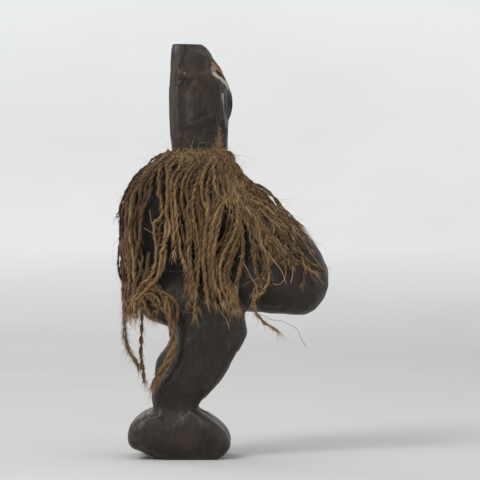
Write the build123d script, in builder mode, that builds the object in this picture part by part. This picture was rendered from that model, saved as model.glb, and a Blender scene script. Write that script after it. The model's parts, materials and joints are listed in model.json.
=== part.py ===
from build123d import *
import math
import os

# Carved standing fertility doll with a fibre cape, modelled upright.
# Millimetres.  +Z up, the doll faces +X, its right side is -Y.
# The origin is the middle of the object's box, on the plane the soles rest on.

os.makedirs("parts", exist_ok=True)

# ---------------------------------------------------------------- dimensions
HEIGHT = 250.0            # sole to crown
NECK_CX = -14.7           # centre of the head-and-neck column along X
NECK_HX = 17.4            # half depth of the column
NECK_HY = 13.6            # half width of the column
NECK_R = 6.5              # rounding of the column's corners

RING_Z = 184.6            # height of the neck cord
RING_OUT = 1.8            # cord centre line, outside the neck surface
CORD_D = 1.4              # neck cord diameter
KNOT_IN, KNOT_OUT = 0.3, 3.3      # knots, inner and outer distance from the neck
KNOT_H = 4.4              # height of a knot

LOCK_TOP = 178.7          # upper end of every lock, and its hinge height
LOW_TOP = 175.0           # upper end of the locks under the cord's knot and
                          # at the neck's back corners, which start lower
LOCK_GAP = 0.45           # half of the gap between neighbouring locks
BODY_CLEAR = 1.0          # lock to carving
LOCK_T = 3.9              # thickness of a lock

# Rows of the lofts: (z, x back, x front, half width, corner radius)
HEAD_NECK = (
    (176.0, -31.5, 2.7, 13.2, 6.5),
    (185.4, -31.5, 2.7, 13.3, 6.5),
    (197.4, -31.9, 2.7, 13.6, 6.0),
    (208.2, -32.4, 2.5, 13.8, 5.8),
    (217.8, -32.5, 1.7, 13.8, 5.6),
    (223.8, -32.5, 1.2, 13.7, 5.4),
    (228.6, -32.3, 0.2, 13.5, 5.2),
    (233.4, -32.1, -1.7, 13.2, 5.0),
    (238.2, -31.7, -4.8, 12.8, 4.8),
    (243.0, -31.2, -8.5, 12.2, 4.6),
    (246.6, -30.6, -11.9, 11.6, 4.4),
    (248.7, -29.9, -14.9, 10.8, 4.0),
    (HEIGHT, -28.8, -18.3, 9.2, 3.4),
)
TORSO = (
    (181.0, -32.1, 2.9, 13.7, 7.0),
    (178.0, -37.0, 3.4, 17.6, 10.0),
    (174.0, -43.2, 4.2, 22.8, 13.0),
    (169.0, -48.8, 5.2, 26.6, 16.0),
    (163.0, -53.2, 6.2, 29.0, 18.0),
    (155.4, -56.4, 7.2, 30.0, 19.0),
    (143.4, -57.6, 7.5, 29.0, 18.0),
    (129.6, -57.0, 7.5, 26.0, 16.0),
    (117.0, -54.9, 7.8, 23.5, 14.0),
    (105.0, -54.0, 9.3, 25.5, 15.0),
    (95.4, -52.8, 11.4, 28.0, 16.0),
    (88.8, -50.4, 12.2, 28.0, 15.0),
    (83.4, -45.3, 12.0, 25.5, 13.0),
    (79.2, -34.5, 8.7, 21.0, 11.0),
)
# The belly is lofted forward: (x, z bottom, z top, half width, corner radius)
BELLY = (
    (-6.9, 89.4, 166.2, 24.5, 19.0),
    (2.7, 88.8, 165.0, 27.0, 20.0),
    (12.9, 88.2, 161.6, 28.2, 21.0),
    (23.1, 87.5, 155.4, 28.6, 21.0),
    (33.9, 86.5, 147.6, 27.8, 20.0),
    (43.5, 85.9, 140.1, 25.6, 18.5),
    (50.1, 86.2, 134.4, 22.4, 16.0),
    (55.5, 89.1, 129.0, 18.0, 12.5),
    (59.7, 93.9, 122.7, 12.6, 9.0),
    (62.3, 99.0, 116.7, 7.6, 5.5),
    (63.7, 103.5, 112.2, 4.0, 3.0),
)
# Legs: (z, x back, x front, half width, corner radius), each about its own LEG_Y
LEG_Y = 14.3
RIGHT_LEG = (
    (97.8, -38.1, 9.9, 12.0, 9.0),
    (88.2, -32.1, 12.6, 13.0, 9.0),
    (81.0, -28.8, 14.2, 13.6, 9.0),
    (74.4, -28.2, 14.3, 13.6, 9.0),
    (68.4, -29.1, 11.4, 13.4, 9.0),
    (60.6, -31.2, 6.6, 13.2, 9.0),
    (53.4, -34.8, 2.7, 12.8, 8.5),
    (47.4, -40.2, -1.2, 12.2, 8.0),
    (41.4, -42.8, -6.0, 11.4, 7.5),
    (36.0, -43.4, -11.4, 10.6, 7.0),
    (31.8, -42.4, -15.0, 10.0, 6.5),
    (29.4, -40.8, -15.9, 9.8, 6.5),
    (24.6, -39.3, -14.1, 9.8, 6.5),
)
LEFT_LEG = (
    (97.8, -39.3, 6.3, 12.0, 9.0),
    (88.2, -34.5, 8.7, 13.0, 9.0),
    (81.0, -32.4, 10.0, 13.6, 9.0),
    (74.4, -32.1, 10.1, 13.6, 9.0),
    (68.4, -33.9, 7.8, 13.4, 9.0),
    (63.6, -37.8, 5.1, 13.3, 9.0),
    (58.2, -41.2, 2.1, 13.0, 8.5),
    (52.2, -42.3, -1.2, 12.6, 8.0),
    (46.2, -42.7, -4.8, 12.0, 7.5),
    (40.2, -43.1, -9.0, 11.2, 7.5),
    (34.8, -43.0, -13.5, 10.4, 7.0),
    (30.6, -41.8, -16.2, 9.8, 6.5),
    (24.6, -39.3, -14.1, 9.8, 6.5),
)
FOOT = (
    (30.3, -39.9, -16.5, 9.2, 6.5),
    (28.2, -45.9, -12.9, 10.6, 7.0),
    (25.2, -51.3, -8.4, 11.8, 8.0),
    (21.6, -55.5, -3.0, 12.8, 8.5),
    (17.4, -57.2, 1.2, 13.4, 9.0),
    (13.2, -57.7, 3.6, 13.6, 9.0),
    (9.6, -57.3, 4.5, 13.6, 9.0),
    (6.6, -55.5, 4.2, 13.4, 8.5),
    (3.9, -48.1, 3.0, 13.0, 8.0),
    (1.6, -42.0, 1.8, 12.6, 7.5),
    (0.0, -39.3, 0.0, 12.0, 7.0),
)


# ---------------------------------------------------------------- the carving
with BuildPart() as carved_figure:
    for z, xb, xf, hy, r in TORSO:
        with BuildSketch(Plane.XY.offset(z)):
            with Locations(((xb + xf) / 2, 0)):
                RectangleRounded(xf - xb, 2 * hy, r)
    loft(ruled=True)
    # the belly reaches forward from inside the torso
    for x, z0, z1, hy, r in BELLY:
        with BuildSketch(Plane.YZ.offset(x)):
            with Locations((0, (z0 + z1) / 2)):
                RectangleRounded(2 * hy, z1 - z0, r)
    loft(ruled=True)
    for z, xb, xf, hy, r in HEAD_NECK:
        with BuildSketch(Plane.XY.offset(z)):
            with Locations(((xb + xf) / 2, 0)):
                RectangleRounded(xf - xb, 2 * hy, r)
    loft(ruled=True)
    for z, xb, xf, hy, r in RIGHT_LEG:
        with BuildSketch(Plane.XY.offset(z)):
            with Locations(((xb + xf) / 2, -LEG_Y)):
                RectangleRounded(xf - xb, 2 * hy, r)
    loft(ruled=True)
    for z, xb, xf, hy, r in LEFT_LEG:
        with BuildSketch(Plane.XY.offset(z)):
            with Locations(((xb + xf) / 2, LEG_Y)):
                RectangleRounded(xf - xb, 2 * hy, r)
    loft(ruled=True)
    for z, xb, xf, hy, r in FOOT:
        with BuildSketch(Plane.XY.offset(z)):
            with Locations(((xb + xf) / 2, -LEG_Y)):
                RectangleRounded(xf - xb, 2 * hy, r)
    loft(ruled=True)
    for z, xb, xf, hy, r in FOOT:
        with BuildSketch(Plane.XY.offset(z)):
            with Locations(((xb + xf) / 2, LEG_Y)):
                RectangleRounded(xf - xb, 2 * hy, r)
    loft(ruled=True)
    # nose ridge: a narrow wedge standing out of the face
    with BuildSketch(Plane.XZ.offset(-3.6)):
        with BuildLine():
            Polyline((-4.0, 228.0), (1.4, 227.5), (3.3, 222.2), (5.1, 218.0),
                     (5.3, 212.6), (4.2, 207.0), (2.9, 204.2), (-4.0, 203.0),
                     close=True)
        make_face()
    extrude(amount=7.2)
    # ears: small half-round bosses low on each side of the crown
    with BuildSketch(Plane.XZ.offset(-14.6)):
        with BuildLine():
            Polyline((-27.6, 233.2), (-18.2, 231.6), (-18.6, 228.4),
                     (-21.6, 225.6), (-25.2, 226.0), close=True)
        make_face()
    extrude(amount=29.2)
carved_figure.part.label = "carved_figure"
export_step(carved_figure.part, "parts/carved_figure.step")

# ---------------------------------------------------------------- neck cord
def ring_path(off):
    """Sketch size of the neck's outline grown by off."""
    return 2 * (NECK_HX + off), 2 * (NECK_HY + off), NECK_R + off


outline = (Pos(NECK_CX, 0, RING_Z)
           * RectangleRounded(*ring_path(RING_OUT))).wire()
start, tangent = outline @ 0, outline % 0

with BuildPart() as neck_cord:
    with BuildLine() as cord_line:
        add(outline)
    with BuildSketch(Plane(origin=start, z_dir=tangent)):
        Circle(CORD_D / 2)
    sweep(path=cord_line.wire())
neck_cord.part.label = "neck_cord"
export_step(neck_cord.part, "parts/neck_cord.step")


def lock_angles():
    """Boundaries of the locks in degrees from straight ahead, one side."""
    return ((0.0, 9.0), (9.0, 18.0), (18.0, 27.0), (27.0, 37.0),
            (37.0, 48.0), (48.0, 60.0), (60.0, 73.0), (73.0, 87.0),
            (87.0, 101.0), (101.0, 115.0), (115.0, 126.5), (134.0, 145.0),
            (145.0, 154.5), (154.5, 163.5), (163.5, 172.0), (172.0, 180.0))


# Knots: one lark's head knot per lock, all sharing this node, with the cord
# running through them.
knot_cuts = sorted({round(s * a, 3) for a0, a1 in lock_angles()
                    for a in (a0, a1) for s in (1, -1)})
knot_cuts = [a for a in knot_cuts if a > -179.9]
with BuildPart() as collar_knots:
    with BuildSketch(Plane.XY.offset(RING_Z - KNOT_H / 2)):
        with Locations((NECK_CX, 0)):
            RectangleRounded(*ring_path(KNOT_OUT))
            RectangleRounded(*ring_path(KNOT_IN), mode=Mode.SUBTRACT)
    extrude(amount=KNOT_H)
    # the cord's passage
    with BuildLine() as passage:
        add(outline)
    with BuildSketch(Plane(origin=start, z_dir=tangent)):
        Circle(CORD_D / 2 + 0.3)
    sweep(path=passage.wire(), mode=Mode.SUBTRACT)
    # slots between neighbouring knots
    for a in knot_cuts:
        ca, sa = math.cos(math.radians(a)), math.sin(math.radians(a))
        with BuildSketch(Plane(origin=(NECK_CX + 20 * ca, 20 * sa, RING_Z - 4),
                               x_dir=(ca, sa, 0), z_dir=(0, 0, 1))):
            Rectangle(20, 0.5)
        extrude(amount=8, mode=Mode.SUBTRACT)
collar_knots.part.label = "collar_knots"
export_step(collar_knots.part, "parts/collar_knots.step")

# The cord is tied at the front of the neck; its knot sits under the collar.
with BuildPart() as neck_cord_knot:
    with BuildSketch(Plane.XY.offset(178.7)):
        with Locations((5.9, -1.0)):
            RectangleRounded(2.0, 3.8, 0.9)
    with BuildSketch(Plane.XY.offset(180.3)):
        with Locations((6.0, -0.5)):
            RectangleRounded(2.8, 5.0, 1.2)
    with BuildSketch(Plane.XY.offset(181.9)):
        with Locations((5.6, -0.2)):
            RectangleRounded(2.0, 3.6, 0.8)
    loft()
neck_cord_knot.part.label = "neck_cord_knot"
export_step(neck_cord_knot.part, "parts/neck_cord_knot.step")

# ---------------------------------------------------------------- fibre locks
def inside_box(u, v, hu, hv, r):
    qu, qv = abs(u) - (hu - r), abs(v) - (hv - r)
    return math.hypot(max(qu, 0), max(qv, 0)) + min(max(qu, qv), 0) <= r


def row_at(rows, t):
    """Linear interpolation of a loft's rows, None outside them."""
    rows = sorted(rows)
    if t < rows[0][0] or t > rows[-1][0]:
        return None
    for lo, hi in zip(rows, rows[1:]):
        if lo[0] <= t <= hi[0]:
            f = (t - lo[0]) / (hi[0] - lo[0])
            return [a + (b - a) * f for a, b in zip(lo, hi)]


def in_wood(x, y, z):
    for rows, y0 in ((TORSO, 0), (HEAD_NECK, 0), (RIGHT_LEG, -LEG_Y),
                     (LEFT_LEG, LEG_Y)):
        s = row_at(rows, z)
        if s and inside_box(x - (s[1] + s[2]) / 2, y - y0,
                            (s[2] - s[1]) / 2, s[3], s[4]):
            return True
    s = row_at(BELLY, x)
    return bool(s) and inside_box(y, z - (s[1] + s[2]) / 2, s[3],
                                  (s[2] - s[1]) / 2, s[4])


def wood_reach(a, z):
    """Distance from the neck's axis to the outside of the carving at angle a."""
    ca, sa = math.cos(math.radians(a)), math.sin(math.radians(a))
    r = 93.0
    while r > 0 and not in_wood(NECK_CX + r * ca, r * sa, z):
        r -= 3.0
    r += 3.0
    while r > 0 and not in_wood(NECK_CX + r * ca, r * sa, z):
        r -= 0.2
    return r


columns = {}


def drape(a, z):
    """The fibre lies on the carving and hangs straight from its widest point."""
    key = round(a, 1)
    if key not in columns:
        reach, widest = [], 0.0
        for k in range(0, 90):
            widest = max(widest, wood_reach(key, LOCK_TOP - 1.25 * k))
            reach.append(widest)
        columns[key] = reach
    t = min(88.0, max(0.0, (LOCK_TOP - z) / 1.25))
    k = int(t)
    reach = columns[key]
    return reach[k] + (reach[k + 1] - reach[k]) * (t - k)


def lock(a0, a1, z_top, z_end, thick, taper):
    """One lock: hexagonal sections between two vertical planes through the
    neck's axis, from its upper end down to z_end."""
    zs = [z_top, z_top - 1.6, z_top - 3.2]
    n = max(6, round((z_top - 3.2 - z_end) / 4.6))
    zs += [z_top - 3.2 - (z_top - 3.2 - z_end) * k / n
           for k in range(1, n + 1)]
    mid = (a0 + a1) / 2
    for z in zs:
        down = (z_top - z) / (z_top - z_end)
        th = thick * min(1.0, 0.28 + 0.72 * (z_top - z) / 3.2)
        narrow = 1.0
        if down > 0.72:
            narrow = 1 - taper * (down - 0.72) / 0.28
            th *= 1 - 0.45 * (down - 0.72) / 0.28
        gap = LOCK_GAP + 0.5 * max(0.0, 1 - (z_top - z) / 14)
        # a flat inner face must not cut the rounded body between its corners
        sag = 1.004 - math.cos(math.radians((a1 - a0) / 4))
        inner, outer = [], []
        for a, shift in ((a0, gap), (mid, 0.0), (a1, -gap)):
            aa = mid + (a - mid) * narrow
            ca, sa = math.cos(math.radians(aa)), math.sin(math.radians(aa))
            r_in = drape(aa, z - 0.6) * (1 + sag) + BODY_CLEAR
            r_out = r_in + th
            if down < 0.9:
                r_out = max(r_out, drape(aa, z - th * 0.9) + BODY_CLEAR)
            inner.append((NECK_CX + r_in * ca - shift * sa,
                          r_in * sa + shift * ca))
            outer.append((NECK_CX + r_out * ca - shift * sa,
                          r_out * sa + shift * ca))
        yield z, inner + outer[::-1]


# Lower ends (z), thicknesses and how far each lock narrows at its end,
# counted from the front to the back.
RIGHT_ENDS = (136.5, 131.0, 124.0, 114.5, 98.0, 81.0, 84.5, 92.0,
              82.0, 119.0, 98.0, 90.0, 87.5, 92.0, 86.0, 94.0)
LEFT_ENDS = (134.0, 129.0, 119.0, 108.0, 99.0, 88.0, 84.0, 90.5,
             83.0, 97.0, 91.0, 89.0, 94.0, 86.5, 91.0, 88.0)
THICK = (3.4, 3.6, 3.8, 3.9, 4.0, 4.3, 4.2, 4.0,
         4.2, 4.0, 4.1, 4.5, 4.5, 4.5, 4.5, 4.5)
TAPER = (0.45, 0.5, 0.55, 0.5, 0.45, 0.3, 0.45, 0.55,
         0.6, 0.5, 0.35, 0.3, 0.35, 0.4, 0.45, 0.4)

lock_ends = {}
for side, sign, ends in (("right", -1, RIGHT_ENDS), ("left", 1, LEFT_ENDS)):
    for n, ((b0, b1), z_end, thick, taper) in enumerate(
            zip(lock_angles(), ends, THICK, TAPER), 1):
        a0, a1 = sorted((sign * b0, sign * b1))
        name = f"cape_lock_{side}_{n:02d}"
        with BuildPart() as fibre_lock:
            top = LOW_TOP if n in (1, 12) else LOCK_TOP
            for z, pts in lock(a0, a1, top, z_end, thick, taper):
                with BuildSketch(Plane.XY.offset(z)):
                    with BuildLine():
                        Polyline(*pts, close=True)
                    make_face()
                low = pts
            loft(ruled=True)
        fibre_lock.part.label = name
        export_step(fibre_lock.part, f"parts/{name}.step")
        lock_ends[name] = (sum(p[0] for p in low) / 6, sum(p[1] for p in low) / 6,
                           z_end)
        print(name, "end", [round(c, 2) for c in lock_ends[name]],
              "volume", round(fibre_lock.part.volume))


# ---------------------------------------------------------------- strands
def strand(name, route, d):
    """A loose yarn: straight runs joined by arcs as large as the runs allow."""
    p = [Vector(*q) for q in route]
    runs = [(b - a).length for a, b in zip(p, p[1:])]
    radii = []
    for i in range(1, len(p) - 1):
        turn = (p[i] - p[i - 1]).get_angle(p[i + 1] - p[i])
        radii.append(0.45 * min(runs[i - 1], runs[i])
                     / math.tan(math.radians(turn / 2)))
    with BuildPart() as tube:
        with BuildLine() as line:
            FilletPolyline(*route, radius=radii)
        with BuildSketch(Plane(origin=route[0], z_dir=line.wire() % 0)):
            Circle(d / 2)
        sweep(path=line.wire())
    tube.part.label = name
    export_step(tube.part, f"parts/{name}.step")
    area = math.pi * d * d / 4
    print(name, "runs", [round(x, 1) for x in runs], "radii",
          [round(x, 1) for x in radii], "length", round(line.wire().length, 1),
          "volume/section", round(tube.part.volume / area, 1))


def hang(name, drop):
    """The first two points of a strand: out of a lock's end, straight down."""
    x, y, z = (round(c, 2) for c in lock_ends[name])
    return (x, y, z), (x, y, z - drop)


STRAND_D = 2.4
strand("neck_cord_tail", ((-3.4, -15.9, 187.0), (-2.6, -16.0, 192.4),
                          (-1.8, -15.8, 198.0)), 1.8)
strand("strand_hip", (*hang("cape_lock_right_11", 9.0), (-30.2, -32.4, 79.0),
                      (-29.4, -32.6, 68.0), (-33.4, -32.2, 58.2),
                      (-39.2, -30.6, 50.4), (-42.6, -29.2, 42.0)), 3.0)
strand("strand_back", (*hang("cape_lock_right_12", 9.0), (-49.2, -29.6, 69.0),
                       (-48.8, -30.4, 57.0), (-46.4, -31.6, 46.6)), STRAND_D)
strand("strand_back_frayed", (*hang("cape_lock_right_14", 8.0),
                              (-59.6, -18.6, 75.0), (-57.4, -20.8, 66.6),
                              (-53.4, -23.6, 60.4), (-49.9, -26.0, 54.6)),
       STRAND_D)
strand("strand_below_belly", (*hang("cape_lock_right_05", 6.0),
                              (20.6, -30.6, 85.6), (26.2, -31.4, 80.6),
                              (33.2, -31.8, 76.4)), 2.0)
strand("strand_over_belly", (*hang("cape_lock_right_03", 5.0),
                             (49.8, -26.0, 113.6), (55.6, -23.2, 111.4)), 1.6)
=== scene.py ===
import json
import math

import bmesh
import bpy
import numpy as np
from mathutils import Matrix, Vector
from mathutils.bvhtree import BVHTree

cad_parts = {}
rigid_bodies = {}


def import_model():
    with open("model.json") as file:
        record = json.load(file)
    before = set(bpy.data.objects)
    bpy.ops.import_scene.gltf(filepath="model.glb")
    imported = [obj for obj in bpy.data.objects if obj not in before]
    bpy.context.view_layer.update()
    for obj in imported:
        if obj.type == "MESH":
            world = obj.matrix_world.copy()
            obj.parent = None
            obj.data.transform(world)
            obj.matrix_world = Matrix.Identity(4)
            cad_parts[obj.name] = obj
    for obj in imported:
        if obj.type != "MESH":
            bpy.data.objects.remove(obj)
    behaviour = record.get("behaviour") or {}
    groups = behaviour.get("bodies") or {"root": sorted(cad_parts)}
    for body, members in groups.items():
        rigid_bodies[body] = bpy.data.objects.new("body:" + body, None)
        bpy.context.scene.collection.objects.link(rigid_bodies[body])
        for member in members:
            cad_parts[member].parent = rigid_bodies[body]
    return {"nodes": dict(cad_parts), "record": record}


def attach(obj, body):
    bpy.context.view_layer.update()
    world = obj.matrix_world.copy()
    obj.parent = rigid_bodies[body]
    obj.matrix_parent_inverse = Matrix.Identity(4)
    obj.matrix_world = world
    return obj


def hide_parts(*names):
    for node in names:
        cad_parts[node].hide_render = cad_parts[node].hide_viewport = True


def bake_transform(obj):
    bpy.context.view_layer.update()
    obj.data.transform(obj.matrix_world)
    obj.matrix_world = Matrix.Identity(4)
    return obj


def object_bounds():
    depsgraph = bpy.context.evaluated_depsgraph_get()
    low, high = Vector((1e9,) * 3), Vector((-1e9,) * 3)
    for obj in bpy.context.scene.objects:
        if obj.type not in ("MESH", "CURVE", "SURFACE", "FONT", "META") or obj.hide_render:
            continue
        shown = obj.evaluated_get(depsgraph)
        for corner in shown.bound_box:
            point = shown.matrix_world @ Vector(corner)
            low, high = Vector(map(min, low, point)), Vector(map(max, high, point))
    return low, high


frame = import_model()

# Carved standing fertility doll with a cape of raw fibre yarns.
# Blender metres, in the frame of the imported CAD.  Lists of places are written in
# millimetres and scaled by MM.

CAD_BOX = [list(v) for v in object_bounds()]
MM = 0.001
scene = bpy.context.scene
coll = scene.collection
rng = np.random.default_rng(11)

AX, AY = -14.7, 0.0       # the neck's axis
SIDE_BOUNDS = (0.0, 18.0, 37.0, 60.0, 87.0, 115.0, 139.5, 163.5, 180.0)


# ------------------------------------------------------------------ camera
cam_data = bpy.data.cameras.new("Camera")
cam_data.sensor_width = 36.0
cam_data.lens = 185.2
cam_data.clip_start, cam_data.clip_end = 0.05, 20.0
cam = bpy.data.objects.new("Camera", cam_data)
cam.location = (9.9 * MM, -1.5, 131.4 * MM)
cam.rotation_euler = (math.pi / 2, 0, 0)
coll.objects.link(cam)
scene.camera = cam
CAM_X, CAM_Z, CAM_D = 9.9, 131.4, 1500.0


# ------------------------------------------------------------------ cords
def spline_points(routes, smooth=10):
    """The points of one NURBS spline for each route, all in one curve."""
    cu = bpy.data.curves.new("tmp_curve", "CURVE")
    cu.dimensions = "3D"
    cu.resolution_u = smooth
    for route in routes:
        sp = cu.splines.new("NURBS")
        sp.points.add(len(route) - 1)
        for p, co in zip(sp.points, route):
            p.co = (co[0], co[1], co[2], 1.0)
        sp.order_u = 3
        sp.use_endpoint_u = True
        sp.resolution_u = smooth
    ob = bpy.data.objects.new("tmp_curve", cu)
    coll.objects.link(ob)
    bpy.context.view_layer.update()
    dg = bpy.context.evaluated_depsgraph_get()
    me = bpy.data.meshes.new_from_object(ob.evaluated_get(dg))
    co = np.empty(len(me.vertices) * 3, np.float32)
    me.vertices.foreach_get("co", co)
    co = co.reshape(-1, 3).astype(float)
    ed = np.empty(len(me.edges) * 2, np.int32)
    me.edges.foreach_get("vertices", ed)
    ed = ed.reshape(-1, 2)
    joined = np.zeros(len(co), bool)
    for a, b in ed:
        if abs(a - b) == 1:
            joined[min(a, b)] = True
    lines, start = [], 0
    for i in range(len(co)):
        if not joined[i]:
            lines.append(co[start:i + 1])
            start = i + 1
    bpy.data.objects.remove(ob)
    bpy.data.meshes.remove(me)
    bpy.data.curves.remove(cu)
    if len(lines) != len(routes):
        raise RuntimeError("a route's spline was not found")
    return lines


# Route points of the hanging strands, in millimetres, as the CAD has them.
CORDS = (
    ("strand_hip", 3.0, "fringe_right_6",
     ((-33.74, -31.89, 98.0), (-33.74, -31.89, 89.0), (-30.2, -32.4, 79.0),
      (-29.4, -32.6, 68.0), (-33.4, -32.2, 58.2), (-39.2, -30.6, 50.4),
      (-42.6, -29.2, 42.0))),
    ("strand_back", 2.4, "fringe_right_6",
     ((-48.66, -28.93, 90.0), (-48.66, -28.93, 81.0), (-49.2, -29.6, 69.0),
      (-48.8, -30.4, 57.0), (-46.4, -31.6, 46.6))),
    ("strand_back_frayed", 2.4, "fringe_right_7",
     ((-58.92, -16.98, 92.0), (-58.92, -16.98, 84.0), (-59.6, -18.6, 75.0),
      (-57.4, -20.8, 66.6), (-53.4, -23.6, 60.4), (-49.9, -26.0, 54.6))),
    ("strand_below_belly", 2.0, "fringe_right_3",
     ((17.97, -29.81, 98.0), (17.97, -29.81, 92.0), (20.6, -30.6, 85.6),
      (26.2, -31.4, 80.6), (33.2, -31.8, 76.4))),
    ("strand_over_belly", 1.6, "fringe_right_2",
     ((46.96, -25.49, 124.0), (46.96, -25.49, 119.0), (49.8, -26.0, 113.6),
      (55.6, -23.2, 111.4))),
    ("neck_cord_tail", 1.8, "carving",
     ((-3.4, -15.9, 187.0), (-2.6, -16.0, 192.4), (-1.8, -15.8, 198.0))),
)


# ------------------------------------------------------------------ helpers
def noise1(n, scale, seed_rng):
    """Smooth random numbers of about unit size, n long, scale samples per wave."""
    k = max(2, int(n / max(scale, 1)) + 3)
    a = seed_rng.normal(size=k)
    t = np.linspace(0, k - 1.001, n)
    i = t.astype(int)
    f = t - i
    f = f * f * (3 - 2 * f)
    return a[i] * (1 - f) + a[np.minimum(i + 1, k - 1)] * f


def smooth(x, lo, hi):
    x = np.clip((x - lo) / (hi - lo), 0, 1)
    return x * x * (3 - 2 * x)


class Build:
    """Collects tubes and turns them into one mesh."""

    def __init__(self):
        self.v, self.fib, self.tone, self.tip, self.open = [], [], [], [], []
        self.loops, self.sizes, self.n = [], [], 0

    def add(self, v, fib, tone, tip, faces, painted_shade=None):
        v = v.reshape(-1, 3)
        self.v.append(v)
        self.fib.append(fib.reshape(-1, 3))
        self.tone.append(tone.reshape(-1))
        self.tip.append(tip.reshape(-1))
        self.open.append(np.ones(len(v)) if painted_shade is None else painted_shade.reshape(-1))
        for f in faces:
            self.loops.append((f + self.n).ravel())
            self.sizes.append(np.full(len(f), f.shape[1]))
        self.n += len(v)

    def mesh(self, name):
        v = np.concatenate(self.v) * MM
        loops = np.concatenate(self.loops).astype(np.int32)
        sizes = np.concatenate(self.sizes)
        starts = np.concatenate(([0], np.cumsum(sizes)[:-1])).astype(np.int32)
        me = bpy.data.meshes.new(name)
        me.vertices.add(len(v))
        me.vertices.foreach_set("co", v.astype(np.float32).ravel())
        me.loops.add(len(loops))
        me.loops.foreach_set("vertex_index", loops)
        me.polygons.add(len(starts))
        me.polygons.foreach_set("loop_start", starts)
        me.update(calc_edges=True)
        me.polygons.foreach_set("use_smooth", np.ones(len(starts), bool))
        a = me.attributes.new("fib", "FLOAT_VECTOR", "POINT")
        a.data.foreach_set("vector",
                           np.concatenate(self.fib).astype(np.float32).ravel())
        for key, val in (("tone", self.tone), ("tip", self.tip), ("open", self.open)):
            a = me.attributes.new(key, "FLOAT", "POINT")
            a.data.foreach_set("value", np.concatenate(val).astype(np.float32))
        me.validate()
        return me


def ring_faces(n, m, start=0):
    i = np.arange(n - 1)[:, None] * m
    k = np.arange(m)[None, :]
    k2 = (k + 1) % m
    q = np.stack([i + k, i + k2, i + m + k2, i + m + k], -1).reshape(-1, 4)
    return q + start


def by_length(p, step):
    """Points along a line, step apart."""
    d = np.linalg.norm(np.diff(p, axis=0), axis=1)
    s = np.concatenate(([0], np.cumsum(d)))
    n = max(6, int(s[-1] / step) + 1)
    t = np.linspace(0, s[-1], n)
    return np.stack([np.interp(t, s, p[:, k]) for k in range(3)], 1), t


def frames(p):
    t = np.gradient(p, axis=0)
    t /= np.linalg.norm(t, axis=1)[:, None] + 1e-9
    n = np.empty_like(t)
    a = np.array((0.31, 0.77, 0.21))
    a = a - t[0] * (a @ t[0])
    n[0] = a / np.linalg.norm(a)
    for i in range(1, len(t)):
        a = n[i - 1] - t[i] * (n[i - 1] @ t[i])
        n[i] = a / (np.linalg.norm(a) + 1e-9)
    return t, n, np.cross(t, n)


def outward(p):
    """Away from the carving at points along a yarn, and how far each is from it."""
    idx = np.unique(np.append(np.arange(0, len(p), 6), len(p) - 1))
    d, far = [], []
    for i in idx:
        loc, no, _, dist = tree.find_nearest(Vector(p[i] * MM))
        v = p[i] - np.array(loc) / MM
        d.append(v / (np.linalg.norm(v) + 1e-9) if dist > 0.0002 else np.array(no))
        far.append(dist / MM)
    d = np.array(d)
    i = np.arange(len(p))
    d = np.stack([np.interp(i, idx, d[:, k]) for k in range(3)], 1)
    return (d / (np.linalg.norm(d, axis=1)[:, None] + 1e-9),
            np.interp(i, idx, far))


def yarn(build, line, dia, r, tone=0.5, plies=3, pitch=17.0, sides=6, step=0.9,
         fray=6.0, start_fray=0.0, wob=0.25, shade=True):
    """A loosely laid yarn of several plies along a line, in millimetres."""
    p, s = by_length(line, step)
    away, far = outward(p) if shade else (None, None)
    n = len(p)
    length = s[-1]
    for axis in range(3):
        p[:, axis] += (noise1(n, 9, r) * wob + noise1(n, 4, r) * wob * 0.75) * np.clip(
            s / 8, 0, 1)
    t, nn, bb = frames(p)
    turn = r.uniform(0, 6.28) + 2 * math.pi * np.cumsum(
        np.full(n, length / n) / (pitch * (1 + 0.18 * noise1(n, 14, r))))
    end = np.clip((length - s) / max(fray, 0.1), 0, 1)
    top = np.clip(s / start_fray, 0, 1) if start_fray else np.ones(n)
    rad = dia / 2
    ang = np.arange(sides) * 2 * math.pi / sides
    for k in range(plies):
        a = rad * 0.57 * (1 + (0.17 if shade else 0.10) * noise1(n, 6, r)) * (
            0.28 + 0.72 * end ** 0.6)
        a = a * (0.4 + 0.6 * top)
        if plies == 2:
            a = a * 1.10
        off = rad * 0.42 * (1 + 0.15 * noise1(n, 8, r)) * (1 + 1.9 * (1 - end) ** 2)
        ph = turn + 2 * math.pi * k / plies + 0.25 * noise1(n, 10, r)
        c = p + (off * np.cos(ph))[:, None] * nn + (off * np.sin(ph))[:, None] * bb
        a = a[:, None]
        flat = 0.86
        ca = (a * np.cos(ang + ph[:, None]))[..., None]
        sa = (a * flat * np.sin(ang + ph[:, None]))[..., None]
        v = c[:, None, :] + ca * nn[:, None, :] + sa * bb[:, None, :]
        pid = r.uniform(0, 50)
        fib = np.empty_like(v)
        fib[..., 0] = np.cos(ang)[None, :] * 1.0 + pid
        fib[..., 1] = np.sin(ang)[None, :] * 1.0 + pid * 0.37
        fib[..., 2] = s[:, None] * 0.10
        tn = np.clip(tone + r.normal() * 0.05 + 0.07 * noise1(n, 16, r), 0, 1)
        tn = np.repeat(tn[:, None], sides, 1)
        tp = np.repeat((1 - end)[:, None], sides, 1)
        caps = np.array([[3, 2, 1, 0], [5, 4, 3, 0]])
        caps2 = np.array([[0, 1, 2, 3], [0, 3, 4, 5]]) + (n - 1) * sides
        painted_shade = None
        # painted shade: a ply is darker on its side facing the carving and where the yarn lies close
        # to the wood; it goes to the open attribute
        if shade:
            q = v - p[:, None, :]
            q /= np.linalg.norm(q, axis=2)[..., None] + 1e-9
            dot = np.sum(q * away[:, None, :], 2)
            painted_shade = (0.22 + 0.78 * smooth(dot, -0.35, 0.85)) * (
                0.42 + 0.58 * smooth(far, 1.6, 4.4))[:, None]
            painted_shade *= 0.80 + 0.20 * np.cos(ang)[None, :]
        build.add(v, fib, tn, tp, [ring_faces(n, sides), caps, caps2], painted_shade)
    return p, s


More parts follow.
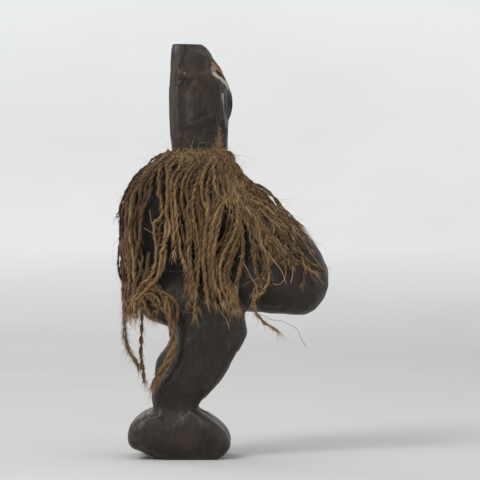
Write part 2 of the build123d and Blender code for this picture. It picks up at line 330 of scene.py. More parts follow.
def hairs(build, base, direction, length, r, tone=0.7, thick=0.085, curl=0.55,
          segs=5, sag=0.25):
    """Fine loose fibres, each a tapering three-sided tube."""
    m = len(base)
    if m == 0:
        return
    d = direction / (np.linalg.norm(direction, axis=1)[:, None] + 1e-9)
    side = np.cross(d, r.normal(size=(m, 3)))
    side /= np.linalg.norm(side, axis=1)[:, None] + 1e-9
    up = np.cross(d, side)
    L = np.broadcast_to(length, (m,))
    t = np.linspace(0, 1, segs)
    bend = r.normal(size=m) * curl
    bend2 = r.normal(size=m) * curl * 0.7
    x = L[:, None] * t[None, :] * (1 - 0.18 * np.abs(bend)[:, None] * t)
    y = L[:, None] * bend[:, None] * t ** 2 * 0.6
    z = L[:, None] * bend2[:, None] * np.sin(t * math.pi * 1.3) * 0.25
    p = (base[:, None, :] + x[..., None] * d[:, None, :]
         + y[..., None] * side[:, None, :] + z[..., None] * up[:, None, :])
    p[..., 2] -= sag * L[:, None] * t ** 2
    out = ((np.abs(p[..., 1]) > 43) | (p[..., 0] > 71) | (p[..., 0] < -71)).any(1)
    p[out] = base[out][:, None, :] + (p[out] - base[out][:, None, :]) * 0.35
    # a long one that would run into the wood lies along it instead
    for k in np.flatnonzero(L > 8.5):
        for j in range(1, segs):
            loc, no, _, _ = tree.find_nearest(Vector(p[k, j] * MM))
            if (Vector(p[k, j] * MM) - loc).dot(no) < 0.0003:
                p[k, j] = np.array(loc + no * 0.0004) / MM
    w = np.broadcast_to(thick, (m,))[:, None] * (1 - 0.75 * t ** 1.5)
    ang = np.arange(3) * 2 * math.pi / 3
    v = (p[:, :, None, :]
         + (w[..., None] * np.cos(ang))[..., None] * side[:, None, None, :]
         + (w[..., None] * np.sin(ang))[..., None] * up[:, None, None, :])
    tn = np.clip(tone + r.normal(size=m) * 0.14, 0, 1)
    tn = np.broadcast_to(tn[:, None, None], (m, segs, 3))
    fib = np.zeros((m, segs, 3, 3))
    fib[..., 0] = np.arange(m)[:, None, None] * 1.7
    fib[..., 2] = (L[:, None] * t)[:, :, None] * 0.1
    tip = np.broadcast_to(t[None, :, None], (m, segs, 3))
    one = ring_faces(segs, 3)
    caps = np.array([[2, 1, 0], [0, 1, 2]])
    caps[1] += (segs - 1) * 3
    step = segs * 3
    q = (one[None] + (np.arange(m) * step)[:, None, None]).reshape(-1, 4)
    c = (caps[None] + (np.arange(m) * step)[:, None, None]).reshape(-1, 3)
    build.add(v, fib, tn, tip, [q, c])


def frizz(build, p, s, dia, r, per_mm=0.75, length=(2.5, 8.0), tone=0.66, brush=16,
          thick=0.095):
    """Loose fibres standing off a yarn, and the brush of them at its end."""
    t = np.gradient(p, axis=0)
    t /= np.linalg.norm(t, axis=1)[:, None] + 1e-9
    m = int(s[-1] * per_mm)
    i = r.integers(2, len(p) - 1, m)
    a = r.normal(size=(m, 3))
    a -= t[i] * np.sum(a * t[i], 1)[:, None]
    a /= np.linalg.norm(a, axis=1)[:, None] + 1e-9
    base = p[i] + a * dia * 0.38
    d = t[i] * r.uniform(0.5, 1.7, m)[:, None] + a * r.uniform(0.25, 0.9, m)[:, None]
    hairs(build, base, d, r.uniform(*length, m) * r.uniform(0.4, 1.0, m), r, tone,
          thick=thick)
    # a few long strays
    m = int(r.integers(0, 3))
    i = r.integers(int(len(p) * 0.45), len(p) - 1, m)
    a = r.normal(size=(m, 3))
    hairs(build, p[i], t[i] * 0.7 + a * 0.55, r.uniform(9, 21, m), r, tone + 0.05,
          thick=0.075, curl=0.8, segs=9)
    # the end
    m = brush
    d = t[-1] * 1.0 + r.normal(size=(m, 3)) * 0.34
    d[:, 2] -= 0.25
    base = p[-2] + r.normal(size=(m, 3)) * dia * 0.2
    hairs(build, base, d, r.uniform(3.0, 9.0, m) * (0.5 + brush / 32), r, tone + 0.06,
          curl=0.6)


def new_object(name, me):
    ob = bpy.data.objects.new(name, me)
    coll.objects.link(ob)
    return ob


# ------------------------------------------------------------------ the carving
def cad_mesh(node):
    me = frame["nodes"][node].data.copy()
    bm = bmesh.new()
    bm.from_mesh(me)
    bmesh.ops.remove_doubles(bm, verts=bm.verts, dist=1e-6)
    bm.to_mesh(me)
    bm.free()
    return me


def verts_of(me):
    co = np.empty(len(me.vertices) * 3, np.float32)
    me.vertices.foreach_get("co", co)
    return co.reshape(-1, 3).astype(float)


def normals_of(me):
    no = np.empty(len(me.vertices) * 3, np.float32)
    me.vertices.foreach_get("normal", no)
    return no.reshape(-1, 3).astype(float)


def set_verts(me, v):
    me.vertices.foreach_set("co", v.astype(np.float32).ravel())
    me.update()


raw = cad_mesh("carved_figure")
body = new_object("carved_body", raw)
rm = body.modifiers.new("remesh", "REMESH")
rm.mode = "VOXEL"
rm.voxel_size = 0.00088
rm.use_smooth_shade = True
bpy.context.view_layer.update()
fine = bpy.data.meshes.new_from_object(
    body.evaluated_get(bpy.context.evaluated_depsgraph_get()))
body.modifiers.clear()
body.data = fine
bpy.data.meshes.remove(raw)

V = verts_of(fine) / MM
ed = np.empty(len(fine.edges) * 2, np.int32)
fine.edges.foreach_get("vertices", ed)
ed = ed.reshape(-1, 2)
DEG = np.bincount(ed.ravel(), minlength=len(V)).astype(float)


def mean_near(x):
    out = np.empty_like(x)
    for k in range(x.shape[1]):
        out[:, k] = (np.bincount(ed[:, 0], x[ed[:, 1], k], len(V))
                     + np.bincount(ed[:, 1], x[ed[:, 0], k], len(V))) / DEG
    return out


def relax(x, rounds, lam=0.55, mu=-0.57):
    for _ in range(rounds):
        x = x + lam * (mean_near(x) - x)
        x = x + mu * (mean_near(x) - x)
    return x


def vertex_normals(x):
    set_verts(fine, x * MM)
    return normals_of(fine)


head = np.clip((V[:, 2] - 186) / 8, 0, 1)[:, None]
soft = V.copy()
for _ in range(16):
    soft = soft + 0.5 * (mean_near(soft) - soft)
V = soft * (1 - 0.9 * head) + relax(V, 2) * 0.9 * head
V[:, 2] = np.maximum(V[:, 2], 0.0)


def between(z, table):
    t = sorted(table)
    return np.interp(z, [a for a, b in t], [b for a, b in t])


# the slanting plane between the side of the head and its front
EDGE = ((246.0, -12.3), (241.2, -9.3), (237.6, -8.4), (233.4, -7.5), (229.8, -4.5),
        (227.4, -2.1), (223.2, 0.0), (217.2, 0.3), (213.0, 0.6), (208.2, 1.2),
        (200.4, 1.9), (190.0, 2.6))
FRONT = ((249.0, -18.3), (246.6, -11.9), (243.0, -8.2), (237.0, -2.9), (233.4, -0.4),
         (229.2, 1.1), (224.4, 2.6), (217.8, 3.4), (208.2, 3.6), (200.4, 3.2),
         (190.0, 3.0))
z = V[:, 2]
up = z > 196
brow = smooth(z, 223, 229) * (1 - smooth(z, 236, 243)) * smooth(V[:, 0], -12, -6)
V[:, 0] += 0.5 * brow
V[:, 0] += 0.7 * smooth(z, 198, 206) * (1 - smooth(z, 247.5, 250)) * smooth(
    V[:, 0], -16, -6)
V[:, 0] -= 0.6 * smooth(-V[:, 0], 22, 29) * smooth(z, 188, 194)
V[:, 0] += 0.9 * smooth(z, 240, 244) * smooth(V[:, 0], -24, -14)
V[:, 2] += 0.9 * smooth(z, 238, 244) * smooth(V[:, 0], -20, -14)
for sign in (-1, 1):
    xa, xb = between(z, EDGE), between(z, FRONT)
    ya, yb = 13.3, 5.2
    dx, dy = xb - xa, yb - ya
    ln = np.hypot(dx, dy)
    nx, ny = -dy / ln, dx / ln            # outward, in x and |y|
    d = (V[:, 0] - xa) * nx + (V[:, 1] * sign - ya) * ny
    cut = np.where(up & (V[:, 1] * sign > 2) & (V[:, 0] > -16), np.maximum(d, 0), 0)
    cut *= 1 - smooth(z, 239, 245)
    V[:, 0] -= cut * nx
    V[:, 1] -= cut * ny * sign

# crown: a level top with a narrow bevel round it
N = vertex_normals(V)
for sign in (-1, 1):
    n = np.array((0.25, 0.62 * sign, 0.74))
    n /= np.linalg.norm(n)
    d = (V - np.array((-20.0, 9.0 * sign, 249.4))) @ n
    d = np.clip(d, 0, 3)
    V -= d[:, None] * n
corner = smooth(-V[:, 0], 24, 30) * smooth(V[:, 2], 240, 248)
V[:, 0] -= 0.35 * corner
V[:, 2] += 0.6 * corner + 0.5 * smooth(V[:, 2], 244, 248.5)
n = np.array((-0.55, 0, 0.83)) / math.hypot(0.55, 0.83)
d = np.clip((V - np.array((-31.3, 0, 249.9))) @ n, 0, 3)
V -= d[:, None] * n
# back corner planes of the head
for sign in (-1, 1):
    n = np.array((-0.80, 0.60 * sign, 0.0))
    d = (V - np.array((-31.4, 9.4 * sign, 220.0))) @ n
    d = np.where(z > 190, np.clip(d, 0, 4), 0)
    V -= d[:, None] * n


def stroke(points, width, depth, side=True, reach=None):
    """Pushes the wood in (depth > 0) along a line of (x, z) on both side faces."""
    p = np.array(points, float)
    best = np.full(len(V), 1e9)
    for a, b in zip(p, p[1:]):
        ab = b - a
        q = V[:, (0, 2)] - a
        t = np.clip((q @ ab) / (ab @ ab), 0, 1)
        best = np.minimum(best, np.linalg.norm(q - t[:, None] * ab, axis=1))
    w = np.exp(-(best / width) ** 2)
    w *= np.clip((np.abs(V[:, 1]) - 2.5) / 3.0, 0, 1)
    return w[:, None] * depth * N * -1.0


N = vertex_normals(V)
# the face, on both sides alike
V += stroke(((-7.2, 235.4), (-5.0, 232.8), (-1.6, 231.6)), 1.5, 0.75)   # eye
N = vertex_normals(V)
V += stroke(((0.4, 217.4), (1.6, 212.0), (2.6, 205.0)), 1.1, 0.9)     # beside the nose
V += stroke(((-26.4, 227.6), (-22.6, 226.6), (-17.6, 227.4)), 1.1, 0.9)  # ear
V += stroke(((-24.2, 229.8), (-22.6, 231.4), (-21.0, 229.8)), 1.1, -0.55)
V += stroke(((-22.5, 197.4), (-15.6, 199.4), (-6.0, 199.8), (-0.9, 201.0)), 1.0, 0.5)
V += stroke(((-20.0, 202.4), (-15.2, 205.0), (-9.9, 206.8)), 0.9, 0.35)
low = (z < 199.6) & (z > 178)
V[:, 1] -= np.sign(V[:, 1]) * np.where(
    low & (V[:, 0] < 2) & (V[:, 0] > -30), 0.55, 0.0) * np.clip((199.6 - z) / 1.4, 0, 1)

# the wood is smooth again in front of the ear
soft = np.exp(-(np.hypot(V[:, 0] + 16.4, z - 225.2) / 2.8) ** 2) * (np.abs(V[:, 1]) > 9)
m = V.copy()
for _ in range(10):
    m = mean_near(m)
V = V + (m - V) * soft[:, None]

# knife facets: each short cut leaves a small plane a little below the surface
N = vertex_normals(V)
M = 760
ok = rng.choice(len(V), M, replace=False)
sp, sn = V[ok], N[ok] + rng.normal(size=(M, 3)) * 0.045
sn /= np.linalg.norm(sn, axis=1)[:, None]
deep = rng.uniform(0.10, 0.30, M)
scale = np.array((1.0, 1.0, 0.55))
cutd = np.zeros(len(V))
for k in range(0, len(V), 8000):
    q = V[k:k + 8000]
    dist = np.linalg.norm((q[:, None, :] - sp[None]) * scale, axis=2)
    dist += np.where((N[k:k + 8000] @ sn.T) < 0.55, 60, 0)
    near = np.argpartition(dist, 3, axis=1)[:, :3]
    h = np.stack([np.sum((q - sp[near[:, j]]) * sn[near[:, j]], 1) + deep[near[:, j]]
                  for j in range(3)], 1)
    far = np.take_along_axis(dist, near, 1)
    h -= np.clip(far - 7.0, 0, 99) * 0.3
    cutd[k:k + 8000] = np.clip(h.max(1), 0, 0.55) * (1 - 0.8 * soft[k:k + 8000])
foot = V[:, 2] < 0.8
cutd[foot] = 0
V = V - N * cutd[:, None]
V = relax(V, 1)

# fine unevenness of the hand-finished surface
wave = (np.sin(V[:, 0] * 0.41 + 1.3 * np.sin(V[:, 2] * 0.11)) * np.sin(
    V[:, 2] * 0.17 + 0.7 * np.sin(V[:, 1] * 0.23)) * np.sin(V[:, 1] * 0.31 + 2.0))
V += N * (wave * 0.16)[:, None]
V[:, 2] = np.minimum(V[:, 2], 249.7 + 0.15 * np.tanh(np.maximum(V[:, 2] - 249.7, 0)))
# the foot's lower edge is rounded off, most at its front end
q = np.clip(1 - V[:, 2] / 9.0, 0, 1) ** 2 * (V[:, 2] < 9)
V[:, 0] -= q * 3.8 * smooth(V[:, 0], -18, 5)
V[:, 0] -= q * 1.0 * smooth(-V[:, 0], 44, 58)
# the soles stand on one plane
V[:, 2] = np.where(V[:, 2] < 0.35, 0.0, V[:, 2])

# wear follows the edges: how much a point stands proud of its neighbourhood
N = vertex_normals(V)
m = V.copy()
for _ in range(14):
    m = mean_near(m)
proud = np.sum((V - m) * N, 1)
# the same over a small neighbourhood: where it is negative, in a small hollow, the wood gets painted
# shade
m = V.copy()
for _ in range(3):
    m = mean_near(m)
crisp = np.sum((V - m) * N, 1)


def line_distance(points):
    p = np.array(points, float)
    best = np.full(len(V), 1e9)
    for a, b in zip(p, p[1:]):
        ab = b - a
        q = V[:, (0, 2)] - a
        t = np.clip((q @ ab) / (ab @ ab), 0, 1)
        best = np.minimum(best, np.linalg.norm(q - t[:, None] * ab, axis=1))
    return best


def polygon_distance(points):
    """Signed distance in the side view, negative inside."""
    p = np.array(points, float)
    best = np.full(len(V), 1e9)
    inside = np.zeros(len(V), bool)
    x, zz = V[:, 0], V[:, 2]
    for a, b in zip(p, np.roll(p, -1, 0)):
        ab = b - a
        q = V[:, (0, 2)] - a
        t = np.clip((q @ ab) / (ab @ ab), 0, 1)
        best = np.minimum(best, np.linalg.norm(q - t[:, None] * ab, axis=1))
        cross = (a[1] > zz) != (b[1] > zz)
        with np.errstate(divide="ignore", invalid="ignore"):
            xi = a[0] + (zz - a[1]) / (b[1] - a[1] + 1e-12) * ab[0]
        inside ^= cross & (x < xi)
    return np.where(inside, -best, best)


on_face = np.clip((3.0 - np.abs(V[:, 1])) * 2.0, 0, 9)   # not down the middle
PAINT_AND_LIGHT = {
    "orange": line_distance(((-7.0, 238.2), (-4.6, 236.2), (-1.4, 232.8), (0.2, 230.8)))
    - 0.62 + on_face,
    "white": polygon_distance(((-7.6, 236.6), (-5.2, 237.0), (-3.6, 234.6), (-1.2, 231.8),
                               (-2.6, 230.0), (-6.0, 231.4), (-7.4, 233.6))) + on_face,
    "pupil": polygon_distance(((-4.8, 234.6), (-2.6, 233.6), (-0.4, 231.6), (-0.8, 229.6),
                               (-2.8, 229.2), (-4.4, 231.2))) + on_face,
    "cream": line_distance(((-5.9, 231.8), (-2.6, 229.2), (1.4, 226.4), (3.2, 223.4)))
    - 1.05 + on_face,
    "edge": line_distance(((-0.5, 219.0), (0.2, 215.4), (1.0, 209.0), (2.0, 203.0),
                            (2.7, 190.0)))
    - 0.82 + np.clip((10.8 - np.abs(V[:, 1])) * 1.6, 0, 9),
    "under": line_distance(((-3.3, 228.6), (1.0, 223.8))) - 0.5 + on_face,
    # painted shade: dark in the carved nick by the ear
    "nick_shade": line_distance(((-26.6, 226.3), (-22.5, 225.6), (-17.4, 226.9))) - 0.55,
    # painted highlight: a pale band down the side of the head and along its back edge, where the
    # facets catch the light
    "painted_highlight": np.minimum(line_distance(((-21.6, 221.5), (-20.6, 212.0), (-20.2, 203.5))),
                         line_distance(((-30.2, 246.0), (-30.9, 232.0), (-31.3, 210.0),
                                        (-30.8, 190.0))) + 0.9),
}
set_verts(fine, V * MM)
# the cape's painted shadow: how far down it reaches at each angle round the neck
angle = np.abs(np.degrees(np.arctan2(V[:, 1], V[:, 0] - AX)))
hem = np.interp(angle, (0, 9, 27, 37, 48, 60, 73, 87, 101, 115, 126, 140, 160, 180),
                (138, 136, 128, 117, 102, 90, 87, 89, 93, 99, 96, 90, 91, 91))
cape_shadow_mask = smooth(V[:, 2] - hem, 0, 15) * (1 - smooth(V[:, 2], 181, 184))
for key, val in (("proud", proud), ("crisp", crisp), ("under_cape", cape_shadow_mask),
                 *PAINT_AND_LIGHT.items()):
    a = fine.attributes.new(key, "FLOAT", "POINT")
    a.data.foreach_set("value", val.astype(np.float32))
fine.polygons.foreach_set("use_smooth", np.ones(len(fine.polygons), bool))
body.name = "carved_body"
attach(body, "carving")
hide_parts("carved_figure")

bm = bmesh.new()
bm.from_mesh(fine)
tree = BVHTree.FromBMesh(bm)
bm.free()

# ------------------------------------------------------------------ the drape
ZS = np.arange(196.0, 38.0, -2.0)
TH = np.radians(np.arange(0, 360, 3.0))
R = np.zeros((len(ZS), len(TH)))
for j, th in enumerate(TH):
    c, s_ = math.cos(th), math.sin(th)
    for i, zz in enumerate(ZS):
        hit = tree.ray_cast(Vector(((AX + 130 * c) * MM, 130 * s_ * MM, zz * MM)),
                            Vector((-c, -s_, 0)), 0.13)
        R[i, j] = 130 - hit[3] / MM if hit[0] else 0.0
D = R.copy()
for i in range(1, len(ZS)):
    D[i] = np.maximum(D[i], D[i - 1] - 0.05)
for _ in range(2):
    D = np.maximum(D, (np.roll(D, 1, 1) + D * 2 + np.roll(D, -1, 1)) / 4)
    D[1:-1] = np.maximum(D[1:-1], (D[:-2] + 2 * D[1:-1] + D[2:]) / 4)


def reach(theta, zz):
    """Distance from the neck's axis to the draped surface, angle in radians."""
    theta = np.mod(np.asarray(theta, float), 2 * math.pi)
    fi = np.clip((ZS[0] - np.asarray(zz, float)) / 2.0, 0, len(ZS) - 1.001)
    fj = theta / math.radians(3.0)
    i, j = fi.astype(int), fj.astype(int) % len(TH)
    a, b = fi - i, fj - np.floor(fj)
    j2 = (j + 1) % len(TH)
    return ((D[i, j] * (1 - b) + D[i, j2] * b) * (1 - a)
            + (D[i + 1, j] * (1 - b) + D[i + 1, j2] * b) * a)


LAYERS = (0.0, 2.0, 4.0, 6.0)
GX = np.arange(-80.0, 81.0, 1.0)
NEAR = np.zeros((len(LAYERS), len(ZS), len(GX)))
fineth = np.radians(np.arange(-180, 0.1, 1.0))
for li, lay in enumerate(LAYERS):
    for i, zz in enumerate(ZS):
        rr = reach(fineth, np.full(len(fineth), zz)) + lay
        px, py = AX + rr * np.cos(fineth), rr * np.sin(fineth)
        y = np.full(len(GX), 99.0)
        for a in range(len(px) - 1):
            x0, x1 = sorted((px[a], px[a + 1]))
            g = (GX >= x0) & (GX <= x1)
            if g.any():
                f = (GX[g] - px[a]) / (px[a + 1] - px[a] + 1e-9)
                y[g] = np.minimum(y[g], py[a] + f * (py[a + 1] - py[a]))
        good = np.where(y < 90)[0]
        y[:good[0]] = y[good[0]]
        y[good[-1] + 1:] = y[good[-1]]
        NEAR[li, i] = y


def near_y(x, zz, t):
    """y of the drape on the side towards -Y, t outside it, at that x and z."""
    fi = min(max((ZS[0] - zz) / 2.0, 0), len(ZS) - 1.001)
    fx = min(max(x + 80.0, 0), len(GX) - 1.001)
    fl = min(max(t / 2.0, 0), len(LAYERS) - 1.001)
    i, k, l_ = int(fi), int(fx), int(fl)
    a, b, c = fi - i, fx - k, fl - l_
    out = 0.0
    for (ii, wi) in ((i, 1 - a), (i + 1, a)):
        for (kk, wk) in ((k, 1 - b), (k + 1, b)):
            for (ll, wl) in ((l_, 1 - c), (l_ + 1, c)):
                out += NEAR[ll, ii, kk] * wi * wk * wl
    return out


def place(x, zz, t):
    """A point of the side view, put on the drape where that view shows it."""
    x3, z3, y = x, zz, -20.0
    for _ in range(2):
        k = (CAM_D + y) / CAM_D
        x3, z3 = CAM_X + (x - CAM_X) * k, CAM_Z + (zz - CAM_Z) * k
        y = near_y(x3, z3, t)
    return np.array((x3, y, z3))


